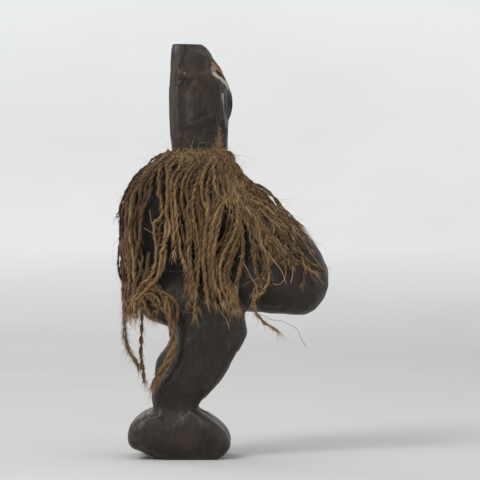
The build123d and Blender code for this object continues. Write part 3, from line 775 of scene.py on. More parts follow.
# ------------------------------------------------------------------ the cape
# Yarns of the right side as the side view shows them: a name, how far outside
# the carving each lies, and its (x, z) from the collar down, in millimetres.
ROUTES = (
        ("L1", 2.2, ((-31.5, 184.2), (-35.1, 183.6), (-39.3, 181.2), (-44.1, 177.6), (-48.9,
        174), (-53.7, 170.4), (-56.7, 165.6), (-59.7, 160.2), (-62.1, 154.2), (-63.6, 147.6),
        (-65.1, 145.8))),
        ("L2", 3.6, ((-30.9, 183.6), (-35.7, 181.8), (-41.1, 178.2), (-46.5, 174), (-51.3,
        169.2), (-54.9, 163.2), (-57.9, 157.2), (-60.9, 151.2), (-62.1, 143.4), (-62.4,
        134.4), (-62.1, 126.6), (-61.5, 118.2), (-60.9, 110.4), (-59.7, 104.4))),
        ("L3", 2.0, ((-30.3, 182.4), (-35.1, 180.6), (-40.5, 177), (-45.3, 172.8), (-49.5,
        168.6), (-52.5, 162.6), (-54.9, 156.6), (-57.3, 151.2), (-59.1, 145.8), (-59.7,
        138.6), (-59.1, 131.4), (-59.7, 125.4), (-59.1, 114.6), (-58.5, 104.4), (-57.3,
        95.4))),
        ("L4", 3.8, ((-30.3, 181.8), (-34.5, 179.4), (-39.3, 175.8), (-44.1, 171.6), (-47.7,
        166.8), (-50.1, 161.4), (-49.5, 157.2), (-51.3, 152.4), (-53.1, 147), (-55.5, 141),
        (-56.1, 133.8), (-56.7, 124.2), (-56.1, 114.6), (-56.1, 104.4), (-57.9, 92.4))),
        ("L5", 2.2, ((-29.7, 180.6), (-33.9, 178.8), (-38.1, 175.8), (-42.9, 171), (-45.9,
        165), (-47.7, 160.2), (-48.3, 155.4), (-50.7, 150.6), (-52.5, 144.6), (-53.1, 137.4),
        (-52.5, 131.4), (-53.1, 125.4), (-52.5, 120.6), (-50.1, 113.4), (-48.9, 107.4),
        (-51.3, 100.2), (-54.3, 94.2))),
        ("L6", 3.8, ((-30.9, 181.8), (-35.7, 179.4), (-40.5, 174.6), (-44.1, 168.6), (-44.7,
        162.6), (-45.9, 156.6), (-48.9, 150.6), (-50.7, 144.6), (-51.3, 137.4), (-51.3, 129),
        (-53.7, 121.8), (-54.9, 113.4), (-53.7, 105), (-54.3, 97.8))),
        ("L7", 3.0, ((-31.5, 183), (-36.9, 181.2), (-43.5, 176.4), (-50.7, 171), (-56.7,
        163.8), (-60.9, 155.4), (-63.3, 147.6), (-62.7, 140.4), (-62.7, 131.4), (-63.3,
        124.2), (-64.2, 118.2), (-63.3, 111.6), (-61.5, 107.4), (-59.7, 105))),
        ("S1", 3.8, ((-28.5, 182.4), (-33.3, 181.2), (-36.9, 179.4), (-38.7, 174.6), (-39,
        167.4), (-38.7, 160.2), (-38.1, 153.6), (-38.4, 148.2), (-39.3, 144.6), (-41.1,
        142.8), (-42, 139.8), (-41.4, 135), (-41.1, 131.4), (-40.8, 124.2), (-41.1, 118.2),
        (-42.9, 112.2), (-45.9, 107.4), (-50.1, 105), (-52.5, 100.2), (-54.9, 95.4))),
        ("S1b", 2.0, ((-28.5, 181.8), (-33.9, 180.6), (-37.5, 177.6), (-38.1, 170.4), (-38.1,
        158.4), (-38.1, 146.4), (-38.1, 142.2), (-39.3, 137.4), (-39.9, 131.4), (-40.5,
        120.6), (-41.1, 114.6), (-44.1, 109.8))),
        ("S2", 4.2, ((-27.3, 181.8), (-31.5, 180.6), (-33.9, 178.2), (-34.5, 172.2), (-34.5,
        166.2), (-34.8, 158.4), (-35.7, 151.2), (-35.7, 147), (-33.9, 144), (-32.7, 141),
        (-33.3, 137.4), (-35.1, 133.8), (-36.9, 129.6), (-36.9, 126.6), (-37.5, 119.4),
        (-38.1, 113.4), (-40.5, 109.2), (-44.7, 104.4), (-48.3, 100.2), (-51.3, 96.6), (-55.5,
        94.8), (-58.5, 93))),
        ("S3", 2.4, ((-26.1, 181.8), (-30.3, 179.4), (-32.7, 174.6), (-32.7, 167.4), (-33.3,
        158.4), (-33.9, 149.4), (-34.5, 140.4), (-35.7, 131.4), (-35.7, 124.2), (-36.3, 117),
        (-37.5, 112.2), (-41.1, 107.4), (-45.9, 102.6), (-49.5, 97.8))),
        ("C1", 3.4, ((-18.9, 183), (-18.9, 178.2), (-21.9, 174.6), (-25.5, 172.2), (-28.5,
        168.6), (-29.7, 163.8), (-29.7, 155.4), (-29.1, 146.4), (-27.9, 138.6), (-27.3,
        131.4), (-26.7, 124.2), (-25.5, 118.2))),
        ("C1b", 2.0, ((-20.1, 182.4), (-20.7, 180), (-23.7, 175.8), (-27.3, 171.6), (-29.1,
        166.8), (-30, 160.2), (-30.3, 152.4), (-29.7, 143.4), (-28.5, 134.4), (-27.9,
        127.8))),
        ("C2", 3.8, ((-13.5, 183.6), (-14.1, 180.6), (-18.3, 175.8), (-21.9, 171.6), (-24.9,
        166.2), (-26.1, 160.2), (-25.8, 153.6), (-24.3, 147), (-22.5, 139.8), (-21.9, 132.6),
        (-21.3, 125.4), (-20.1, 118.2), (-18.9, 113.4), (-18.3, 106.2), (-17.7, 100.2))),
        ("C3", 2.4, ((-11.1, 181.8), (-14.7, 177.6), (-18.9, 172.2), (-21.9, 167.4), (-22.5,
        158.4), (-21.9, 150.6), (-21.3, 143.4), (-20.1, 134.4), (-20.1, 122.4), (-20.1,
        110.4), (-20.1, 101.4), (-18.9, 94.2), (-16.5, 89.4))),
        ("C4", 4.0, ((-8.1, 183), (-9.3, 179.4), (-12.9, 173.4), (-16.5, 167.4), (-18.3,
        161.4), (-18.6, 154.2), (-18.3, 147.6), (-17.1, 142.2), (-15.9, 134.4), (-14.7,
        128.4), (-14.1, 120.6), (-15.3, 112.2), (-15.9, 104.4), (-17.1, 97.2), (-17.1, 89.4),
        (-17.7, 85.2))),
        ("C5", 2.4, ((-8.1, 181.2), (-10.5, 177), (-14.1, 171), (-16.5, 165), (-17.1, 158.4),
        (-16.5, 150.6), (-15.3, 143.4), (-14.7, 131.4), (-13.5, 122.4), (-12.3, 114.6),
        (-11.1, 107.4), (-10.5, 100.2), (-9.9, 94.2))),
        ("C7", 3.4, ((-23.7, 182.4), (-25.5, 178.2), (-27.3, 173.4), (-30.9, 169.8), (-32.1,
        163.8), (-31.5, 155.4), (-31.5, 147), (-30.9, 138.6), (-30.3, 131.4), (-29.7,
        124.2))),
        ("F1", 3.6, ((-0.9, 185.4), (-6.3, 181.8), (-9.9, 177), (-12.3, 171), (-14.1, 163.8),
        (-14.1, 156.6), (-11.1, 151.8), (-10.5, 148.2), (-8.7, 142.2))),
        ("F1b", 2.2, ((-3.3, 185.4), (-8.1, 180.6), (-11.7, 174.6), (-14.7, 168.6), (-16.5,
        162.6), (-15.9, 155.4), (-14.1, 147), (-11.7, 139.8), (-10.5, 131.4))),
        ("F2", 3.8, ((-4.5, 184.2), (-5.7, 179.4), (-6.3, 173.4), (-5.7, 167.4), (-4.5,
        161.4), (-1.5, 157.8), (1.5, 154.2), (3.9, 149.4), (5.7, 144.6))),
        ("F3", 2.6, ((0.3, 184.2), (1.5, 179.4), (2.1, 173.4), (3.3, 166.2), (3.3, 158.4),
        (5.1, 153.6), (8.7, 150), (13.5, 147), (18.3, 143.4), (23.1, 139.8), (27.9, 136.2))),
        ("F3b", 3.8, ((-2.1, 184.2), (-2.7, 177), (-2.1, 168.6), (-0.3, 162.6), (2.7, 155.4),
        (6.3, 150.6), (10.5, 145.8), (15.9, 142.2), (21.9, 136.8))),
        ("F4", 3.8, ((3.9, 180.6), (5.7, 172.2), (6.9, 164.4), (5.7, 157.8), (2.7, 155.4),
        (-1.5, 152.4), (-4.5, 147.6), (-6.3, 142.2), (-6.9, 134.4), (-7.5, 125.4))),
        ("F5", 2.2, ((-6.9, 181.8), (-7.5, 173.4), (-6.3, 166.2), (-3.9, 162.6), (-0.9,
        160.2), (2.7, 155.4), (6.3, 150.6), (10.5, 145.8), (15.9, 142.2))),
        ("F6", 4.0, ((2.7, 181.8), (6.3, 177.6), (9.9, 172.2), (11.1, 166.2), (11.1, 160.2),
        (12.9, 156.6), (17.1, 154.2), (23.1, 152.4), (27.9, 148.8), (31.5, 144.6), (33.3,
        139.8))),
        ("F7", 3.6, ((1.5, 181.8), (5.7, 174.6), (9.9, 171.6), (14.1, 168), (19.5, 163.8),
        (24.9, 160.8), (29.7, 157.8), (33.3, 153.6), (35.7, 148.8), (39.9, 145.2), (44.1,
        142.2), (48.3, 137.4), (53.1, 132.6), (56.7, 129.6))),
        ("F8", 2.4, ((2.7, 179.4), (7.5, 172.2), (12.3, 167.4), (17.7, 163.2), (23.1, 159),
        (27.9, 154.8), (31.5, 150), (35.1, 146.4), (39.9, 142.2), (44.1, 136.8), (47.7,
        132.6))),
        ("F9", 4.2, ((5.1, 176.4), (11.1, 171), (17.1, 166.2), (23.1, 161.4), (26.7, 157.8),
        (29.1, 153), (31.5, 148.8), (33.9, 143.4), (36.9, 138.6), (40.5, 133.8), (43.5,
        128.4), (45.9, 123.6), (48.9, 120.6), (51.9, 118.2), (54.9, 115.8), (59.1, 114),
        (62.7, 114.6))),
        ("F10", 2.6, ((2.7, 177), (9.9, 168.6), (15.9, 161.4), (23.1, 153), (27.9, 147),
        (31.5, 142.2), (35.7, 138.6), (38.7, 133.8), (42.3, 127.8), (45.9, 122.4), (51.3,
        118.8), (50.7, 114.6), (49.5, 108.6), (48.6, 103.8))),
        ("F12", 4.0, ((3.3, 177), (8.7, 167.4), (14.7, 159), (20.7, 151.8), (25.5, 146.4),
        (29.1, 142.2), (30.9, 137.4), (29.1, 133.2), (25.5, 131.4))),
        ("F13a", 3.6, ((2.1, 175.8), (7.5, 165), (14.7, 154.2), (21.9, 143.4), (27.9, 136.2),
        (31.5, 131.4), (36.3, 125.4), (40.5, 120), (44.1, 117))),
        ("F13b", 2.4, ((1.5, 174.6), (6.3, 163.2), (13.5, 151.8), (20.7, 142.2), (26.1,
        135.6), (29.7, 130.2), (34.5, 124.2), (38.7, 119.4), (41.1, 114.6))),
        ("F14", 4.2, ((0.9, 174.6), (5.1, 161.4), (12.3, 150.6), (21.3, 141.6), (28.5, 133.8),
        (31.5, 127.8), (35.7, 121.8), (39.3, 117), (42.3, 113.4))),
        ("F14b", 3.2, ((2.7, 174.6), (9.3, 162.6), (17.1, 151.8), (24.3, 143.4), (30.3, 135),
        (33.9, 129), (38.1, 123.6), (42.3, 119.4), (45.3, 118.2))),
        ("F15", 4.0, ((0.3, 175.8), (3.9, 165), (9.9, 153.6), (15.3, 148.2), (19.5, 143.4),
        (21.9, 136.2), (23.7, 129), (26.1, 121.8), (27.3, 114.6), (27.3, 107.4), (25.5,
        102.6), (22.5, 97.8), (18.3, 98.4))),
        ("F16", 2.6, ((-0.9, 177), (2.1, 165), (8.1, 153), (14.1, 145.2), (18.3, 138.6),
        (20.7, 131.4), (23.1, 124.2), (25.5, 118.2), (25.5, 109.8), (23.1, 103.8), (18.3,
        102))),
        ("F17", 3.8, ((-1.5, 178.2), (0.9, 165), (5.7, 153.6), (11.7, 145.8), (15.9, 139.8),
        (16.5, 131.4), (17.7, 124.2), (18.3, 116.4), (19.5, 108.6), (20.7, 102.6), (20.7,
        97.8))),
        ("F19", 2.2, ((-0.9, 179.4), (2.7, 168.6), (7.5, 157.8), (14.1, 150.6), (19.5, 145.8),
        (23.1, 138.6), (25.5, 131.4), (27.9, 124.2), (29.1, 118.2))),
        ("F20", 3.4, ((3.9, 178.2), (10.5, 169.8), (18.3, 162), (24.3, 155.4), (30.3, 149.4),
        (35.1, 143.4), (39.9, 136.2), (44.7, 131.4), (49.5, 127.8), (53.7, 125.4))),
        ("F21", 2.4, ((1.5, 179.4), (6.9, 170.4), (14.1, 161.4), (20.7, 155.4), (26.7, 149.4),
        (32.1, 142.2), (36.3, 135), (39.9, 129), (43.5, 125.4))),
        ("G1", 3.6, ((-5.7, 180.6), (-8.1, 172.2), (-10.5, 163.8), (-10.5, 155.4), (-9.9,
        147), (-10.5, 138.6), (-11.7, 131.4), (-12.9, 125.4), (-12.3, 118.2), (-11.1, 110.4),
        (-9.9, 102.6), (-9.3, 97.2))),
        ("G2", 2.4, ((-4.5, 179.4), (-5.7, 169.8), (-6.3, 160.2), (-6.3, 150.6), (-6.9,
        142.2), (-8.1, 134.4), (-8.7, 126.6), (-8.7, 118.2), (-7.5, 110.4), (-5.7, 102.6),
        (-3.3, 97.2), (-0.9, 93))),
        ("G3", 4.0, ((-2.1, 180.6), (-1.5, 171), (-0.3, 161.4), (0.3, 154.2), (-0.9, 148.2),
        (-3.3, 140.4), (-5.1, 131.4), (-6.3, 122.4), (-6.9, 114.6), (-5.7, 106.2), (-3.3, 99),
        (0.3, 93.6))),
        ("G4", 2.6, ((-0.9, 179.4), (1.5, 169.8), (3.9, 160.2), (5.1, 151.8), (5.1, 144.6),
        (3.9, 138.6), (1.5, 131.4), (-2.7, 124.2), (-5.1, 117.6), (-6.3, 110.4), (-4.5,
        102.6), (-1.5, 95.4))),
        ("G5", 4.2, ((0.3, 178.2), (3.9, 168.6), (6.9, 159), (8.1, 149.4), (7.5, 140.4), (5.1,
        132.6), (2.1, 125.4), (-1.5, 118.2), (-2.1, 110.4), (-0.3, 102.6), (2.7, 95.4))),
        ("G6", 3.4, ((1.5, 177), (5.7, 166.2), (9.3, 155.4), (9.9, 145.8), (8.7, 136.2), (6.3,
        127.8), (3.3, 120.6), (0.3, 113.4), (0.9, 106.2), (3.9, 99), (6.3, 93), (8.7, 90))),
        ("G7", 2.6, ((2.7, 174.6), (7.5, 162.6), (11.1, 151.8), (11.1, 142.2), (8.7, 131.4),
        (5.7, 124.2), (3.9, 117), (2.7, 110.4), (3.3, 102.6), (6.3, 95.4), (8.1, 90))),
        ("G8", 3.8, ((1.5, 174.6), (5.7, 162.6), (9.3, 151.8), (10.5, 143.4), (9.9, 135.6),
        (11.7, 131.4), (12.3, 125.4), (11.1, 118.2), (9.3, 112.2), (8.1, 107.4), (8.1,
        102.6))),
        ("G9", 2.2, ((-6.9, 178.2), (-8.7, 167.4), (-8.7, 157.8), (-7.5, 149.4), (-8.1, 141),
        (-9.3, 132.6), (-10.5, 124.2), (-9.9, 115.8), (-8.1, 107.4), (-6.3, 100.2), (-4.5,
        93))),
        ("G10", 3.0, ((-3.3, 178.2), (-3.3, 167.4), (-3.3, 157.8), (-2.7, 148.2), (-4.5,
        138.6), (-5.7, 130.2), (-5.7, 121.8), (-3.9, 113.4), (-1.5, 106.2), (1.5, 100.2),
        (4.5, 94.2), (6.3, 88.2))),
        ("K1", 3.4, ((-57.3, 125.4), (-54.9, 118.2), (-55.5, 110.4), (-57.9, 105), (-57.9,
        100.2), (-58.5, 93.6), (-60.3, 90), (-61.5, 88.2))),
        ("K2", 4.4, ((-53.7, 131.4), (-50.1, 125.4), (-48.9, 118.2), (-51.3, 109.8), (-55.5,
        102.6), (-56.1, 95.4), (-55.5, 90.6), (-54.3, 85.8), (-52.5, 88.2), (-51.9, 92.4))),
        ("K3", 3.6, ((-44.1, 109.8), (-47.7, 105), (-44.1, 101.4), (-38.1, 99.6), (-33.3,
        96.6), (-29.1, 93), (-27.9, 88.2), (-27.9, 82.2))),
        ("K4", 4.6, ((-50.1, 105), (-47.7, 99), (-44.1, 95.4), (-39.9, 90.6), (-35.1, 86.4),
        (-30.9, 82.2))),
        ("K5", 3.6, ((-40.5, 105), (-36.9, 100.2), (-33.3, 96.6), (-30.9, 91.8), (-29.7,
        85.8), (-28.5, 80.4))),
    ("K6", 3.0, ((-42.9, 108.6), (-39.3, 101.4), (-35.1, 93.6), (-34.5, 88.2))),
        ("K7", 4.0, ((-52.5, 112.2), (-53.7, 103.8), (-51.9, 95.4), (-49.5, 90.6), (-45.3,
        87), (-40.5, 82.2))),
        ("K8", 3.0, ((-46.5, 118.2), (-47.7, 109.8), (-50.1, 101.4), (-48.9, 94.2), (-45.9,
        88.2), (-44.1, 83.4))),
        ("K9", 4.2, ((-59.7, 118.2), (-57.9, 109.8), (-54.3, 102.6), (-49.5, 96.6), (-46.5,
        89.4), (-45.3, 83.4))),
        ("K10", 3.4, ((-45.3, 124.2), (-47.1, 115.8), (-45.3, 107.4), (-40.5, 101.4), (-36.3,
        95.4), (-32.1, 88.2), (-30.9, 82.2))),
    ("K11", 3.4, ((-57.3, 118.2), (-50.1, 112.2), (-42.9, 107.4), (-39.3, 101.4),
                  (-44.1, 95.4), (-50.1, 93.0))),
    ("K12", 3.0, ((-55.5, 102.6), (-50.1, 105.6), (-42.9, 104.4), (-38.1, 100.2),
                  (-36.3, 94.2))),
    ("K13", 3.8, ((-57.9, 92.4), (-53.1, 97.8), (-46.5, 100.2), (-40.5, 97.2),
                  (-38.1, 91.8), (-41.1, 87.6))),
    ("K14", 3.2, ((-50.1, 89.4), (-44.1, 92.4), (-38.1, 90.6), (-33.3, 85.8))),
    ("K15", 3.0, ((-59.4, 103.8), (-54.9, 97.2), (-49.5, 97.8), (-46.2, 92.4),
                  (-50.7, 87.6))),
)


def lock_body(x, y):
    a = math.degrees(math.atan2(y, x - AX))
    side = "left" if a >= 0 else "right"
    a = abs(a)
    for k in range(8):
        if a <= SIDE_BOUNDS[k + 1]:
            return f"fringe_{side}_{k + 1}"
    return f"fringe_{side}_8"


def neck_reach(theta):
    """Distance from the axis to the neck's outline at the collar."""
    return reach(theta, np.full(np.shape(theta), 186.0)) if np.ndim(theta) else float(
        reach(np.array([theta]), np.array([186.0]))[0])


def over_cord(theta, height=0.0):
    """The loop with which a yarn comes over the neck cord, from behind it."""
    c, s_ = math.cos(theta), math.sin(theta)
    r0 = neck_reach(theta)
    height -= 2.1 * smooth(abs(r0 * c), 12.0, 17.0)
    return [np.array((AX + (r0 + o) * c, (r0 + o) * s_, zz + height)) for o, zz in
            ((0.9, 181.4), (0.8, 183.5), (1.1, 185.2), (1.8, 184.4))]


def t_along(n, base, r):
    t = np.full(n, base) + noise1(n, 3, r) * 0.45
    return np.clip(t, 1.2, 5.4)


# how far the yarns reach to the back and the front at each height
ENV_Z = np.arange(80.0, 190.0, 3.0)
ENV = np.array([[99.0, -99.0]] * len(ENV_Z))
for _, _, xz in ROUTES:
    q = np.array(xz, float)
    f = np.linspace(0, len(q) - 1, len(q) * 12)
    qx, qz = (np.interp(f, np.arange(len(q)), q[:, k]) for k in (0, 1))
    for k, h in enumerate(ENV_Z):
        on = np.abs(qz - h) < 3.0
        if on.any():
            ENV[k] = min(ENV[k][0], qx[on].min()), max(ENV[k][1], qx[on].max())


def inside(xz):
    lo_, hi_ = (np.interp(xz[:, 1], ENV_Z, ENV[:, k]) for k in (0, 1))
    out = xz.copy()
    out[:, 0] = np.where(xz[:, 1] > 95, np.clip(xz[:, 0], lo_ + 0.2, hi_ - 0.2), xz[:, 0])
    return out


YARNS = []      # (control points, body, diameter, tone, kind)


def add_yarn(points, dia, tone, kind="yarn"):
    p = np.array(points)
    tail = p[max(0, int(len(p) * 0.55)):]
    YARNS.append((p, lock_body(tail[:, 0].mean(), tail[:, 1].mean()), dia, tone, kind))


def traced(xz, layer, r, shift=0.0, cut=0, top=True):
    """Control points on the near side for one yarn of the side view."""
    n = len(xz)
    side = noise1(n, 3, r) * 0.5 + shift
    xz = np.array(xz, float)
    d = np.gradient(xz, axis=0)
    d /= np.linalg.norm(d, axis=1)[:, None] + 1e-9
    xz = xz + np.stack([-d[:, 1], d[:, 0]], 1) * side[:, None] * np.clip(
        np.arange(n) / 2.0, 0, 1)[:, None]
    xz = inside(xz)
    if cut:
        xz = xz[:-cut]
    ts = t_along(len(xz), layer, r)
    ts[:2] = np.minimum(ts[:2], 2.4)
    pts = [place(x, zz, t) for (x, zz), t in zip(xz, ts)]
    if top and xz[0][1] > 176:
        x0 = min(max(pts[0][0], -31.0), 2.0)
        th = math.atan2(pts[0][1], x0 - AX)
        pts = over_cord(th, r.normal() * 0.9) + pts
    return pts


def hanging(th0, th1, z_end, layer, r, sway=4.0):
    """Control points of a yarn that follows the drape from one angle to another."""
    n = max(5, int((184 - z_end) / 8.5))
    f = np.linspace(0, 1, n)
    zz = 183.0 + (z_end - 183.0) * f ** 0.92
    th = th0 + (th1 - th0) * f ** 0.8
    ts = t_along(n, layer, r)
    ts[0] = min(ts[0], 2.4)
    rr = reach(th, zz)
    th = th + noise1(n, 2.6, r) * math.radians(sway) * np.clip(f * 3, 0, 1) * 22 / (rr + 8)
    ts = np.where(zz > 150, np.minimum(ts, 3.2), ts)
    rr = reach(th, zz) + ts
    pts = [np.array((AX + q * math.cos(a), q * math.sin(a), h))
           for q, a, h in zip(rr, th, zz)]
    return over_cord(th0, r.normal() * 0.9) + pts


# no second yarn under these, so that the carving shows between them
BARE = ("L5", "L6", "S1", "S1b", "S2", "S3", "C1", "C1b", "C7", "G1", "G8")
THIN = {"F7": 1.5, "F8": 1.7, "F9": 1.3, "F20": 1.3, "F21": 1.5, "F12": 1.5,
        "F17": 1.6, "L7": 1.5, "F10": 1.5, "F14b": 1.6, "F13b": 1.8, "K1": 1.6,
        "K11": 1.9, "K12": 1.7, "K13": 2.0, "K14": 1.7, "K15": 1.8, "K6": 1.5, "K2": 1.8, "L1": 1.8, "F3": 2.0, "F16": 1.8, "F19": 1.7}


def inward(sh, xz):
    """A second yarn lies inside the outline, not outside it."""
    high = [x for x, zz in xz if zz > 150]
    if high and min(high) < -48:
        return abs(sh)
    return -abs(sh) if max(x for x, zz in xz) > 34 else sh


r_yarn = np.random.default_rng(5)
r_more = np.random.default_rng(8)
for name, layer, xz in ROUTES:
    tone = float(np.clip(r_yarn.normal(0.52, 0.13), 0.2, 0.85))
    dia = THIN.get(name, float(r_yarn.uniform(2.15, 2.55)))
    loose = name[0] == "K"
    add_yarn(traced(xz, layer, r_yarn, top=not loose), dia, tone, name)
    if loose:
        continue
    # a second yarn under the traced one is painted darker as shade, since it lies beneath the yarn
    # above
    if name not in BARE and r_yarn.random() < 0.6:
        sh = float(r_yarn.choice((-1, 1)) * r_yarn.uniform(1.6, 2.6))
        cut = int(r_yarn.integers(0, 3)) if len(xz) > 8 else 0
        add_yarn(traced(xz, max(1.3, layer - 1.6), r_yarn, inward(sh, xz), cut), dia * 0.94,
                 tone - 0.12, "under_" + name)
    elif name not in BARE and r_more.random() < 0.65:
        sh = float(r_more.choice((-1, 1)) * r_more.uniform(1.5, 2.4))
        add_yarn(traced(xz, max(1.3, layer - 1.4), r_more, inward(sh, xz), 1), dia * 0.94,
                 tone - 0.08, "under_" + name)

# the far side: the same kind of yarns, laid afresh
for name, layer, xz in ROUTES:
    for under in (0, 1):
        loose = name[0] == "K"
        if under and (loose or r_yarn.random() < 0.5):
            continue
        # a yarn lying under another is painted darker as shade
        tone = float(np.clip(r_yarn.normal(0.5, 0.13), 0.2, 0.85)) - 0.1 * under
        n = len(xz)
        q = np.array(xz, float)
        f = np.clip(np.arange(n) / max(n - 1, 1) * 1.6, 0, 1)
        q[:, 0] += noise1(n, 4, r_yarn) * 2.2 * f + r_yarn.normal() * 2.0 * f
        q[:, 1] += r_yarn.normal() * 3.0 * f
        cut = int(r_yarn.integers(0, 3)) if n > 9 else 0
        pts = traced(q, layer if not under else max(1.3, layer - 1.6), r_yarn,
                     float(r_yarn.normal() * 1.2), cut, top=not loose)
        pts = [p * np.array((1, -1, 1)) for p in pts]
        add_yarn(pts, THIN.get(name, float(r_yarn.uniform(2.1, 2.5))), tone, "far_" + name)

# over the middle of the back, and over the top of the belly
for k in range(22):
    th = math.radians(180 + (k - 10.5) * 3.4 + r_yarn.normal() * 1.2)
    add_yarn(hanging(th, th + r_yarn.normal() * 0.12, r_yarn.uniform(84, 98),
                     1.5 + 2.4 * (k % 2), r_yarn), 2.4,
             float(np.clip(r_yarn.normal(0.5, 0.12), 0.2, 0.8)), "back")
for k in range(20):
    th = math.radians((k - 9.5) * 5.2 + r_yarn.normal() * 1.5)
    add_yarn(hanging(th * 1.25, th * 0.9, r_yarn.uniform(137, 149), 1.4 + 2.3 * (k % 2),
                     r_yarn, 3.0), 2.3,
             float(np.clip(r_yarn.normal(0.52, 0.12), 0.2, 0.8)), "front")

lo_box = np.array(CAD_BOX[0]) / MM - 2.0
hi_box = np.array(CAD_BOX[1]) / MM + 2.0
lines = spline_points([np.clip(p, lo_box, hi_box) * MM for p, *_ in YARNS])

builds, fuzz = {}, {}
r_mesh = np.random.default_rng(21)
for line, (pts, bod, dia, tone, kind) in zip(lines, YARNS):
    b = builds.setdefault(bod, Build())
    f = fuzz.setdefault(bod, Build())
    bare = kind.split("_")[-1][0] == "F"       # these lie on the belly and end thinly
    # painted shade: the back yarns (L) and the loose curls low at the back (K) are much darker, as
    # that part of the cape lies in shade
    low = kind.split("_")[-1][0] in "LK"
    tone -= 0.30 * low
    p, s = yarn(b, line / MM, dia, r_mesh, tone, plies=3 if dia > 2.3 else 2,
                pitch=float(r_mesh.uniform(7, 11)),
                fray=float(r_mesh.uniform(11, 22) if bare else r_mesh.uniform(3, 8)))
    frizz(f, p, s, dia, r_mesh, per_mm=1.15, length=(1.2, 4.6), tone=tone + 0.10,
          brush=4 if bare else 8 if low else 14)

# single long threads that have worked loose: body, tone, diameter, (x, z)
THREADS = (
    ("fringe_right_3", 0.0, 0.34, ((14.0, 95.0), (17.7, 88.8), (20.7, 86.4), (24.9, 85.2),
     (29.7, 82.4), (34.5, 82.6), (38.7, 80.6), (43.5, 78.2), (45.9, 75.4), (46.9, 71.4),
     (50.7, 66.0))),
    ("fringe_right_3", 0.85, 0.30, ((18.9, 98.4), (17.1, 93.6), (15.9, 89.4), (14.1, 85.8),
     (11.7, 82.2))),
    ("fringe_right_2", 0.9, 0.30, ((36.0, 120.6), (38.4, 113.4), (37.0, 107.0), (33.0, 103.4),
     (29.5, 105.0))),
    ("fringe_right_6", 0.9, 0.26, ((-48.3, 138.6), (-44.7, 136.2), (-40.5, 135.0),
     (-36.6, 135.6))),
    ("fringe_right_6", 0.9, 0.26, ((-45.0, 150.0), (-44.4, 143.4), (-42.0, 138.6),
     (-38.4, 136.8))),
    ("fringe_right_1", 0.8, 0.34, ((40.0, 141.0), (47.4, 133.0), (54.0, 122.0),
     (59.4, 114.6), (63.0, 112.2))),
    ("fringe_right_4", 0.85, 0.28, ((-4.0, 92.0), (-1.0, 86.0), (2.6, 82.4), (3.4, 77.0))),
    ("fringe_right_1", 0.55, 0.8, ((26.0, 152.0), (34.0, 144.5), (41.0, 134.5), (45.5, 126.0),
     (50.5, 119.0), (53.0, 112.5))),
    ("fringe_right_2", 0.5, 0.9, ((20.0, 143.0), (28.0, 136.0), (35.5, 128.5), (41.0, 119.0),
     (42.5, 111.0), (40.5, 105.0))),
    ("fringe_right_2", 0.6, 0.6, ((18.0, 134.0), (25.0, 127.0), (30.5, 118.5), (36.0, 112.0),
     (38.0, 104.5))),
    ("fringe_right_3", 0.5, 0.8, ((10.0, 122.0), (14.5, 112.0), (20.0, 104.0), (20.5, 96.5),
     (17.0, 90.0))),
)
thread_pts = []
for bod, tone, dia, xz in THREADS:
    thread_pts.append([place(x, zz, 3.4) for x, zz in xz])
for line, (bod, tone, dia, xz) in zip(
        spline_points([np.clip(p, lo_box, hi_box) * MM for p in thread_pts], 8), THREADS):
    yarn(fuzz[bod], line / MM, dia, r_mesh, tone, plies=2, pitch=2.4, fray=3.0,
         step=0.6, wob=0.05, shade=False)

REPLACED = {}
for bod, nodes in frame["record"]["behaviour"]["bodies"].items():
    REPLACED[bod] = [n for n in nodes if n.startswith("cape_lock")]


def bend_piece(ob):
    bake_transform(ob)


CAPE = []
for bod in sorted(REPLACED):
    if bod == "carving":
        continue
    ob = new_object(bod + "_yarns", builds[bod].mesh(bod + "_yarns"))
    bend_piece(ob)
    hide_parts(*REPLACED[bod])
    fz = new_object(bod + "_loose_fibres", fuzz[bod].mesh(bod + "_loose_fibres"))
    bend_piece(fz)
    CAPE += [ob, fz]

